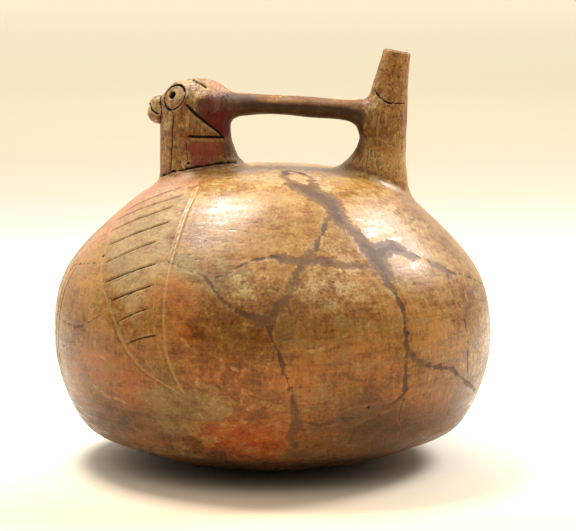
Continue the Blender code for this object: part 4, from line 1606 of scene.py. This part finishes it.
        # The clay's tone is darker towards the bottom of the body, and the bridge is painted darker where it
        # faces down: painted shade on its underside.
        rise = np.interp(points[:, 2], (0, 14, 40, 70, 100, 120), (0.32, 0.38, 0.46, 0.53, 0.60, 0.63))
        foot = ease(points[:, 0], 20.0, 34.0) * (1 - ease(points[:, 2], 122.0, 136.0))
        marks["depth"] = rise * on_body + (1 - on_body) * ((0.49 + 0.24 * foot) * standing
                                                           + lying * (0.17 + 0.26 * normal[:, 2]))
        for kind in Kind:
            value = np.zeros(len(points))
            for cloud in CLOUDS.get(kind, ()):
                swing = (turn - cloud.turn + 180.0) % 360.0 - 180.0
                around = np.radians(swing) * np.maximum(radius, 12.0) / cloud.around
                up = (points[:, 2] - cloud.height) / cloud.up
                value += cloud.strength * np.exp(-0.8 * (around ** 2 + up ** 2))
            value *= on_body
            for spot in HEAD_SPOTS.get(kind, ()):
                away = np.linalg.norm((np.abs(points * (0, 1, 0)) + points * (1, 0, 1) - spot.centre), axis=1)
                value += spot.strength * np.exp(-0.8 * (away / spot.reach) ** 2)
            marks[kind.name.lower()] = value
        # Painted shade: the bridge is darkened further where it faces down.
        marks["smoke"] += 1.9 * (1 - on_body) * lying * ease(-normal[:, 2], -0.72, 0.05)
        # Painted highlight: a pale crescent on the lower rim of each pupil's hole, which faces the light from
        # above.
        for eye in self.forms.eyes:
            away = points - eye.pupil_place
            far = np.linalg.norm(away, axis=1)
            below = ease(-(away @ eye.up) - 0.4 * (away @ eye.across), -0.3, 1.2)
            marks["pale"] += 1.6 * below * np.exp(-((far - 1.9) / 0.35) ** 2)
        return marks

    def build(self) -> bpy.types.Object:
        """Build the bottle with all its relief and marks.

        Returns:
            The bottle's object.
        """
        piece = self.forms.build("falcon_effigy_bottle")
        skin = Skin(piece, self.forms)
        skin.settle(6)
        upper = (self.forms.body.distance(skin.points) > -2.0) & (skin.points[:, 2] > self.upper_from)
        skin.relax(upper, 6)
        skin.settle(3)
        for _ in range(2):
            skin.refine(self.fineness)
        skin.relax(skin.points[:, 2] > self.lip_top, 3)
        marks = self.carve(skin)
        skin.write()
        mesh = piece.data
        for name, values in marks.items():
            mesh.attributes.new(name, 'FLOAT', 'POINT').data.foreach_set("value", values.astype(np.float32))
        mesh.attributes.remove(mesh.attributes["held"])
        choose(piece)
        bpy.ops.object.shade_smooth()
        return piece


def linear(colour: str) -> tuple[float, float, float, float]:
    """Turn a colour into what a shader takes.

    Args:
        colour: The sRGB colour, as # and six hex digits.

    Returns:
        Its linear red, green and blue, and full opacity.
    """
    parts = [int(colour[i:i + 2], 16) / 255 for i in (1, 3, 5)]
    lit = [part / 12.92 if part <= 0.04045 else ((part + 0.055) / 1.055) ** 2.4 for part in parts]
    return (*lit, 1.0)


def add(tree: bpy.types.NodeTree, kind: str, inputs: dict | None = None,
        **settings: object) -> bpy.types.Node:
    """Add one node to a material with its settings and links.

    Args:
        tree: The material's node tree.
        kind: The node's type name.
        inputs: What goes into its sockets, by name or number: another node's socket or a plain value.
        settings: The node's own settings.

    Returns:
        The new node.
    """
    made = tree.nodes.new(kind)
    for name, value in settings.items():
        setattr(made, name, value)
    for key, value in (inputs or {}).items():
        if isinstance(value, bpy.types.NodeSocket):
            tree.links.new(value, made.inputs[key])
        else:
            made.inputs[key].default_value = value
    return made


def bare_tree(owner: bpy.types.ID) -> bpy.types.NodeTree:
    """Empty a node tree.

    Args:
        owner: The material or the world whose tree it is.

    Returns:
        The tree.
    """
    owner.use_nodes = True
    owner.node_tree.nodes.clear()
    return owner.node_tree


def set_tones(ramp: bpy.types.ColorRamp, tones: Iterable[tuple[float, str]]) -> None:
    """Set a colour ramp's tones.

    Args:
        ramp: The ramp, as Blender makes it.
        tones: Each tone's place from 0 to 1 and its sRGB hex colour, in order.
    """
    ramp.elements.remove(ramp.elements[1])
    for number, (place, tint) in enumerate(tones):
        stop = ramp.elements.new(place) if number else ramp.elements[0]
        stop.position = place
        stop.color = linear(tint)


@dataclass(frozen=True)
class Pattern:
    """One cloudy pattern of the clay: its size, how much tighter it is along each axis, and its detail."""

    size_mm: float
    stretch: tuple[float, float, float] = (1.0, 1.0, 1.0)
    detail: float = 3.0
    roughness: float = 0.55


PATTERNS = {
    # Clouds of the firing and blotches of the slip are that large on a pot.
    "cloud": Pattern(36.0, (1.0, 1.0, 1.2), 4.0),
    "mottle": Pattern(8.0, (1.0, 1.0, 1.6), 5.0, 0.62),
    # Strokes of the burnishing pebble: about 15 mm long and 1.5 to 2 mm wide.
    "around": Pattern(15.0, (1.0, 1.0, 10.0), 4.0, 0.6),
    "upwards": Pattern(15.0, (8.0, 8.0, 1.0), 4.0, 0.6),
    "lengthwise": Pattern(15.0, (0.7, 7.0, 7.0), 4.0, 0.6),
    # Coarser than the temper's own grains of 0.3 to 1 mm: the patches in which they show.
    "speck": Pattern(2.6, detail=5.0, roughness=0.7),
    "grain": Pattern(1.1, detail=2.0),
    "grit": Pattern(1.6, (1.0, 1.0, 1.3), 1.0, 0.5),
    "crumb": Pattern(1.9, (1.5, 1.5, 0.9), 3.0, 0.7),
    # The run of a hair-fine scratch, whose line is far finer than its curl.
    "curl": Pattern(12.0, (1.0, 1.0, 2.0), 1.2, 0.5),
}

# Patterns or marks by name, each with its weight.
Shares = tuple[tuple[str, float], ...]


@dataclass(frozen=True)
class Layer:
    """One colour over the clay: the mark it follows, where it ends and is full, and its ragged edge."""

    mark: str
    tint: str
    clear: float
    full: float
    strength: float = 1.0
    ragged: Shares = ()
    roughness: float | None = None


@dataclass(frozen=True)
class BurnishedClay:
    """Low-fired clay rubbed with a pebble: golden browns in soft clouds, a dull sheen in fine streaks."""

    tones: tuple[tuple[float, str], ...] = ((0.20, "#40240a"), (0.45, "#754c1a"), (0.64, "#9f763b"),
                                            (0.88, "#bd985d"))
    roughness: float = 0.35
    shine: float = 0.32
    shades: Shares = (("cloud", 0.52), ("mottle", 0.22), ("streak", 0.22), ("upwards", 0.16), ("speck", 0.14),
                      ("grain", 0.16))
    texture: Shares = (("grain", 0.7), ("speck", 0.5), ("mottle", 0.42), ("streak", 0.26), ("upwards", 0.24))
    hue: Shares = (("mottle", 0.07), ("speck", 0.05))
    sheen: Shares = (("streak", 0.55), ("upwards", 0.40), ("mottle", 0.35), ("standing", 0.20),
                     ("lying", 0.35))
    relief: Shares = (("streak", 0.8), ("upwards", 0.4), ("grain", 0.6), ("mottle", 0.8), ("speck", 0.7))
    relief_mm: float = 0.26
    relief_strength: float = 0.30
    relief_standing: float = 0.60
    layers: tuple[Layer, ...] = (
        Layer("warm", "#a34d18", 0.05, 1.2, 0.76,
              (("mottle", 2.0), ("speck", 1.5), ("cloud", 2.0), ("grain", 0.8))),
        Layer("olive", "#7d6a40", 0.05, 1.0, 0.72,
              (("mottle", 2.2), ("speck", 1.7), ("curl", 2.0), ("cloud", 1.2))),
        # Pale worn clay, which also carries the painted highlight, the painted reflections at the edges and
        # the pale crescents in the pupils.
        Layer("pale", "#b0966c", 0.35, 1.3, 0.75, (("mottle", 2.8), ("speck", 2.6), ("grain", 1.2))),
        Layer("blush", "#b97c60", 0.25, 1.1, 0.75, (("mottle", 2.0), ("speck", 2.2), ("upwards", 1.4)), 0.5),
        Layer("wing", "#9c8a66", -1.0, 6.0, 0.42, (("mottle", 9.0), ("speck", 5.0), ("cloud", 6.0)), 0.5),
    )


@dataclass(frozen=True)
class Wear:
    """Fine scratches that show the light clay, and grit that fell out or stayed dark."""

    layers: tuple[Layer, ...] = (
        Layer("hair", "#b18447", 0.012, 0.003, 0.38),
        Layer("grit", "#2b1808", 0.20, 0.26, 0.55),
        Layer("rough_dark", "#2e1c0b", 0.070, 0.13, 0.65),
        Layer("rough_light", "#b39163", 0.075, 0.14, 0.65),
        Layer("scrape_dark", "#33200d", 0.05, 0.14, 0.55),
        Layer("scrape_light", "#b2905f", 0.06, 0.15, 0.55),
    )


@dataclass(frozen=True)
class FireCloudAndShade:
    """Dark fire clouds of the kiln, which darkened the clay unevenly and dulled it, with painted shade under
    the bridge, beside the cheek and low on the body.
    """

    layers: tuple[Layer, ...] = (
        Layer("smoke", "#36220e", 0.25, 1.1, 0.80, (("mottle", 2.2), ("speck", 1.4), ("streak", 1.0)), 0.6),
    )


@dataclass(frozen=True)
class RedSlip:
    """Iron-red slip, brushed on and mostly worn: dark and matt, with the clay showing through the streaks."""

    layers: tuple[Layer, ...] = (
        Layer("triangle", "#5c0800", 0.7, -0.3, 0.94, (("speck", 3.0), ("upwards", 2.5)), 0.75),
        Layer("red", "#7e3620", 0.6, -1.4, 0.88, (("speck", 11.0), ("upwards", 9.0), ("crumb", 9.0)), 0.62),
        Layer("flush", "#4e180a", 0.22, 1.0, 0.85, (("speck", 1.8), ("mottle", 1.4))),
    )


@dataclass(frozen=True)
class MendingPlaster:
    """Grey-brown filler in the cracks, duller than the clay, with a light band along its edges: clay exposed
    by chips, and a painted highlight of those edges.
    """

    layers: tuple[Layer, ...] = (
        Layer("chipped_and_highlight", "#a9743c", 0.34, 0.05, 0.28, (("mottle", 1.6), ("speck", 1.2))),
        Layer("mend", "#6f4c28", 0.38, -0.38, 0.78, (("mottle", 3.4), ("speck", 3.4), ("grain", 1.0)), 0.5),
        Layer("crack", "#4a3016", 0.25, -0.30, 0.72, (("mottle", 2.4), ("speck", 2.4)), 0.55),
        Layer("core", "#4c341d", 0.9, -0.5, 0.45, (("speck", 3.0), ("mottle", 6.0)), 0.55),
    )


@dataclass(frozen=True)
class CutShadeAndHighlight:
    """The colours of the cuts: painted shade inside them, nearly black on the head and brown on the body, a
    painted highlight along their lower edges, and pale in the broad cuts, as light clay in the scratches and
    as a painted highlight along the other broad lines.
    """

    layers: tuple[Layer, ...] = (
        # Painted highlight along the broad lines, with light clay in the scratches, and painted highlight
        # below each cut.
        Layer("broad", "#b1935f", 0.80, 0.20, 0.5, (("speck", 1.6), ("mottle", 1.0))),
        Layer("rim", "#b5966a", 0.36, 0.08, 0.6, (("speck", 0.8), ("mottle", 0.8))),
        # Painted shade in the steep cuts and in the holes and pupils.
        Layer("incised", "#33200c", 0.10, -0.18, 0.92, (("speck", 0.35),), 0.8),
        Layer("face_cut", "#080402", 0.14, -0.12, 1.0, (("speck", 0.35),), 0.8),
        Layer("pit", "#0a0503", 0.10, -0.15, 0.95, (), 0.9),
    )


class ClayMaterial:
    """The bottle's one material: the clay's own colour and sheen, with every later layer laid over it."""

    def __init__(self) -> None:
        """Choose the finishes, from the clay outwards."""
        self.clay = BurnishedClay()
        self.finishes = (Wear(), FireCloudAndShade(), RedSlip(), MendingPlaster(), CutShadeAndHighlight())

    def weigh(self, start: object, shares: Shares) -> bpy.types.NodeSocket:
        """Add patterns to a value.

        Args:
            start: The value.
            shares: The patterns that are added.

        Returns:
            The socket of the sum.
        """
        for name, weight in shares:
            start = add(self.tree, 'ShaderNodeMath', {0: self.values[name], 1: weight, 2: start},
                        operation='MULTIPLY_ADD').outputs[0]
        return start

    def read_marks(self, layers: Iterable[Layer]) -> None:
        """Make every mark of the mesh that the layers follow readable, next to the patterns."""
        for layer in layers:
            if layer.mark not in self.values:
                mark = add(self.tree, 'ShaderNodeAttribute', attribute_name=layer.mark)
                self.values[layer.mark] = mark.outputs['Fac']

    def draw_patterns(self) -> None:
        """Draw the patterns, each of them as a value around zero."""
        place = add(self.tree, 'ShaderNodeTexCoord').outputs['Object']
        for name, pattern in PATTERNS.items():
            stretched = add(self.tree, 'ShaderNodeMapping', {'Vector': place, 'Scale': pattern.stretch})
            drawn = add(self.tree, 'ShaderNodeTexNoise', {
                'Vector': stretched.outputs[0], 'Scale': 1 / (pattern.size_mm * UNIT),
                'Detail': pattern.detail, 'Roughness': pattern.roughness})
            self.values[name] = add(self.tree, 'ShaderNodeMath', {0: drawn.outputs[0], 1: 0.5},
                                    operation='SUBTRACT').outputs[0]
        standing = add(self.tree, 'ShaderNodeAttribute', attribute_name="standing").outputs['Fac']
        lying = add(self.tree, 'ShaderNodeAttribute', attribute_name="lying").outputs['Fac']
        streak = add(self.tree, 'ShaderNodeMix', {
            0: standing, 2: self.values["around"], 3: self.values["upwards"]})
        streak = add(self.tree, 'ShaderNodeMix', {
            0: lying, 2: streak.outputs[0], 3: self.values["lengthwise"]})
        self.values["streak"] = streak.outputs[0]
        self.values["standing"] = standing
        self.values["lying"] = lying
        line = add(self.tree, 'ShaderNodeMath', {0: self.values["curl"]}, operation='ABSOLUTE')
        gap = add(self.tree, 'ShaderNodeMath', {0: self.values["mottle"], 1: -0.5, 2: 0.03},
                  operation='MULTIPLY_ADD')
        self.values["hair"] = add(self.tree, 'ShaderNodeMath', {0: line.outputs[0], 1: gap.outputs[0]},
                                  operation='MAXIMUM').outputs[0]
        for name, source, way in (("rough_dark", "crumb", 1.0), ("rough_light", "crumb", -1.0),
                                  ("scrape_dark", "upwards", 1.0), ("scrape_light", "upwards", -1.0)):
            turned = add(self.tree, 'ShaderNodeMath', {0: self.values[source], 1: way}, operation='MULTIPLY')
            self.values[name] = add(self.tree, 'ShaderNodeMath', {0: turned.outputs[0], 1: standing},
                                    operation='MULTIPLY').outputs[0]

    def lay(self, layer: Layer) -> None:
        """Lay one layer over the colour and the sheen.

        Args:
            layer: The layer.
        """
        place = self.weigh(self.values[layer.mark], layer.ragged)
        share = add(self.tree, 'ShaderNodeMapRange', {
            'Value': place, 'From Min': layer.clear, 'From Max': layer.full, 'To Max': layer.strength},
            interpolation_type='SMOOTHSTEP').outputs[0]
        self.colour = add(self.tree, 'ShaderNodeMix', {0: share, 6: self.colour, 7: linear(layer.tint)},
                          data_type='RGBA').outputs[2]
        if layer.roughness is not None:
            self.rough = add(self.tree, 'ShaderNodeMix', {
                0: share, 2: self.rough, 3: layer.roughness}).outputs[0]

    def build(self) -> bpy.types.Material:
        """Build the material: the clay's shades, the layers over them, and the fine relief.

        Returns:
            The material.
        """
        material = bpy.data.materials.new("burnished_low_fired_clay")
        self.tree = bare_tree(material)
        self.values: dict[str, bpy.types.NodeSocket] = {}
        clay = self.clay
        layers = [*clay.layers, *(layer for finish in self.finishes for layer in finish.layers)]
        self.draw_patterns()
        self.read_marks(layers)
        # The clay's shades follow the depth mark: darker towards the bottom of the body, with painted shade
        # under the bridge.
        depth = add(self.tree, 'ShaderNodeAttribute', attribute_name="depth").outputs['Fac']
        shade = add(self.tree, 'ShaderNodeValToRGB', {0: self.weigh(depth, clay.shades)})
        set_tones(shade.color_ramp, clay.tones)
        self.colour = shade.outputs[0]
        self.rough = self.weigh(clay.roughness, clay.sheen)
        for layer in layers:
            self.lay(layer)
        self.colour = add(self.tree, 'ShaderNodeHueSaturation', {
            'Hue': self.weigh(0.5, clay.hue), 'Value': self.weigh(1.0, clay.texture),
            'Color': self.colour}).outputs[0]
        coarse = self.weigh(clay.relief_strength, (("standing", clay.relief_standing),))
        bump = add(self.tree, 'ShaderNodeBump', {
            'Height': self.weigh(0.5, clay.relief), 'Strength': coarse, 'Distance': clay.relief_mm * UNIT})
        shader = add(self.tree, 'ShaderNodeBsdfPrincipled', {
            'Base Color': self.colour, 'Roughness': self.rough, 'Normal': bump.outputs[0],
            'Specular IOR Level': clay.shine})
        add(self.tree, 'ShaderNodeOutputMaterial', {0: shader.outputs[0]})
        return material


@dataclass(frozen=True)
class Softbox:
    """One soft light that faces the bottle: its direction, its sides and distance in metres, its power."""

    name: str
    way: tuple[float, float, float]
    size: tuple[float, float]
    power: float
    tint: str = "#fff8ee"
    away: float = 1.5

    def build(self) -> bpy.types.Object:
        """Hang the light.

        Returns:
            The light's object.
        """
        aim = Vector(self.way).normalized()
        deselect()
        bpy.ops.object.light_add(type='AREA', location=Vector((0.0, 0.0, 0.08)) + self.away * aim,
                                 rotation=aim.to_track_quat('Z', 'Y').to_euler())
        lamp = bpy.context.object
        lamp.name = self.name
        lamp.data.shape = 'RECTANGLE'
        lamp.data.size, lamp.data.size_y = self.size
        lamp.data.energy = self.power
        lamp.data.color = linear(self.tint)[:3]
        return lamp


@dataclass
class Studio:
    """A pale floor that runs out of view, soft light from above and behind, and the camera."""

    distance: float = 1100.0
    rise: float = math.radians(8.0)
    lens_mm: float = 167.1
    sensor_mm: float = 36.0
    shift: float = 0.0267
    floor_radius: float = 16000.0
    floor_edge: float = 100.0
    floor_gap: float = 0.15
    # The floor's tones by metres behind the bottle, fitted to the photograph's backdrop: painted light and
    # shade on the floor, darker in a band behind the bottle and paler again further back.
    floor_tones: tuple[tuple[float, str], ...] = (
        (-0.12, "#d8c3a8"), (0.02, "#ebe7dc"), (0.45, "#e0dbcf"), (0.62, "#bcb7af"), (0.78, "#b1a79e"),
        (0.90, "#b3a699"), (1.00, "#b5a796"), (1.22, "#baab99"), (1.41, "#c3b49e"), (1.62, "#c9bda5"),
        (1.90, "#d0c5ad"), (2.60, "#ded4bb"), (4.40, "#f0e4cd"),
    )
    softboxes: tuple[Softbox, ...] = (
        Softbox("softbox_over_left", (-0.28, 0.26, 0.92), (0.46, 0.42), 30.0),
        Softbox("softbox_back_right", (0.66, 0.36, 0.72), (0.40, 0.52), 21.0, "#ffffff"),
    )

    def build_floor(self) -> bpy.types.Object:
        """Build the floor: a round sheet just under the bottle.

        Returns:
            The floor's object.
        """
        deselect()
        bpy.ops.mesh.primitive_circle_add(vertices=96, radius=self.floor_radius * UNIT, fill_type='NGON',
                                          location=(0.0, 0.0, 0.0), enter_editmode=True)
        bpy.ops.transform.translate(value=(0.0, 0.0, -self.floor_gap * UNIT))
        bpy.ops.mesh.inset(thickness=self.floor_edge * UNIT, depth=0.0)
        bpy.ops.object.mode_set(mode='OBJECT')
        floor = bpy.context.object
        floor.name = "floor"
        material = bpy.data.materials.new("matt_white_paper")
        tree = bare_tree(material)
        place = add(tree, 'ShaderNodeTexCoord').outputs['Object']
        back = add(tree, 'ShaderNodeSeparateXYZ', {0: place}).outputs[1]
        near, far = self.floor_tones[0][0], self.floor_tones[-1][0]
        share = add(tree, 'ShaderNodeMapRange', {'Value': back, 'From Min': near, 'From Max': far}).outputs[0]
        tone = add(tree, 'ShaderNodeValToRGB', {0: share})
        set_tones(tone.color_ramp, [((run - near) / (far - near), tint) for run, tint in self.floor_tones])
        shader = add(tree, 'ShaderNodeBsdfPrincipled', {
            'Base Color': tone.outputs[0], 'Roughness': 0.9, 'Specular IOR Level': 0.1})
        add(tree, 'ShaderNodeOutputMaterial', {0: shader.outputs[0]})
        floor.data.materials.append(material)
        return floor

    def build_world(self) -> None:
        """Build the room: a bright ceiling, a bright back and a dim front."""
        world = bpy.data.worlds.new("studio")
        bpy.context.scene.world = world
        tree = bare_tree(world)
        way = add(tree, 'ShaderNodeSeparateXYZ', {0: add(tree, 'ShaderNodeTexCoord').outputs['Generated']})
        above = add(tree, 'ShaderNodeMapRange', {
            'Value': way.outputs[2], 'From Min': 0.25, 'From Max': 0.95, 'To Min': 0.0, 'To Max': 1.25},
            interpolation_type='SMOOTHSTEP')
        behind = add(tree, 'ShaderNodeMapRange', {
            'Value': way.outputs[1], 'From Min': -0.1, 'From Max': 0.8, 'To Min': 0.14, 'To Max': 1.0},
            interpolation_type='SMOOTHSTEP')
        strength = add(tree, 'ShaderNodeMath', {0: above.outputs[0], 1: behind.outputs[0]}, operation='ADD')
        light = add(tree, 'ShaderNodeBackground', {
            'Color': linear("#fffaf0"), 'Strength': strength.outputs[0]})
        add(tree, 'ShaderNodeOutputWorld', {0: light.outputs[0]})

    def build_camera(self) -> None:
        """Place the camera where the photograph was taken."""
        deselect()
        run = self.distance * math.cos(self.rise)
        height = FOCUS_HEIGHT + self.distance * math.sin(self.rise)
        bpy.ops.object.camera_add(location=(0.0, -run * UNIT, height * UNIT),
                                  rotation=(math.pi / 2 - self.rise, 0, 0))
        camera = bpy.context.object
        camera.data.lens = self.lens_mm
        camera.data.sensor_width = self.sensor_mm
        camera.data.shift_x = self.shift
        bpy.context.scene.camera = camera

    def build(self) -> None:
        """Build the studio."""
        self.build_floor()
        self.build_world()
        for softbox in self.softboxes:
            softbox.build()
        self.build_camera()
        bpy.context.scene.view_settings.view_transform = 'Standard'


def main() -> None:
    """Build the bottle and the studio around it."""
    logging.basicConfig(level=logging.INFO, format="%(message)s")
    noise.seed_set(WANDER_SEED)
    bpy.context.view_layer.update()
    bottle = Bottle().build()
    bottle.data.materials.append(ClayMaterial().build())
    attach(bottle, "root")
    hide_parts(NODE)
    mesh = bottle.data
    mesh.calc_loop_triangles()
    log.info("%s: %d points, %d triangles", bottle.name, len(mesh.vertices), len(mesh.loop_triangles))
    Studio().build()


if __name__ == "__main__":
    main()
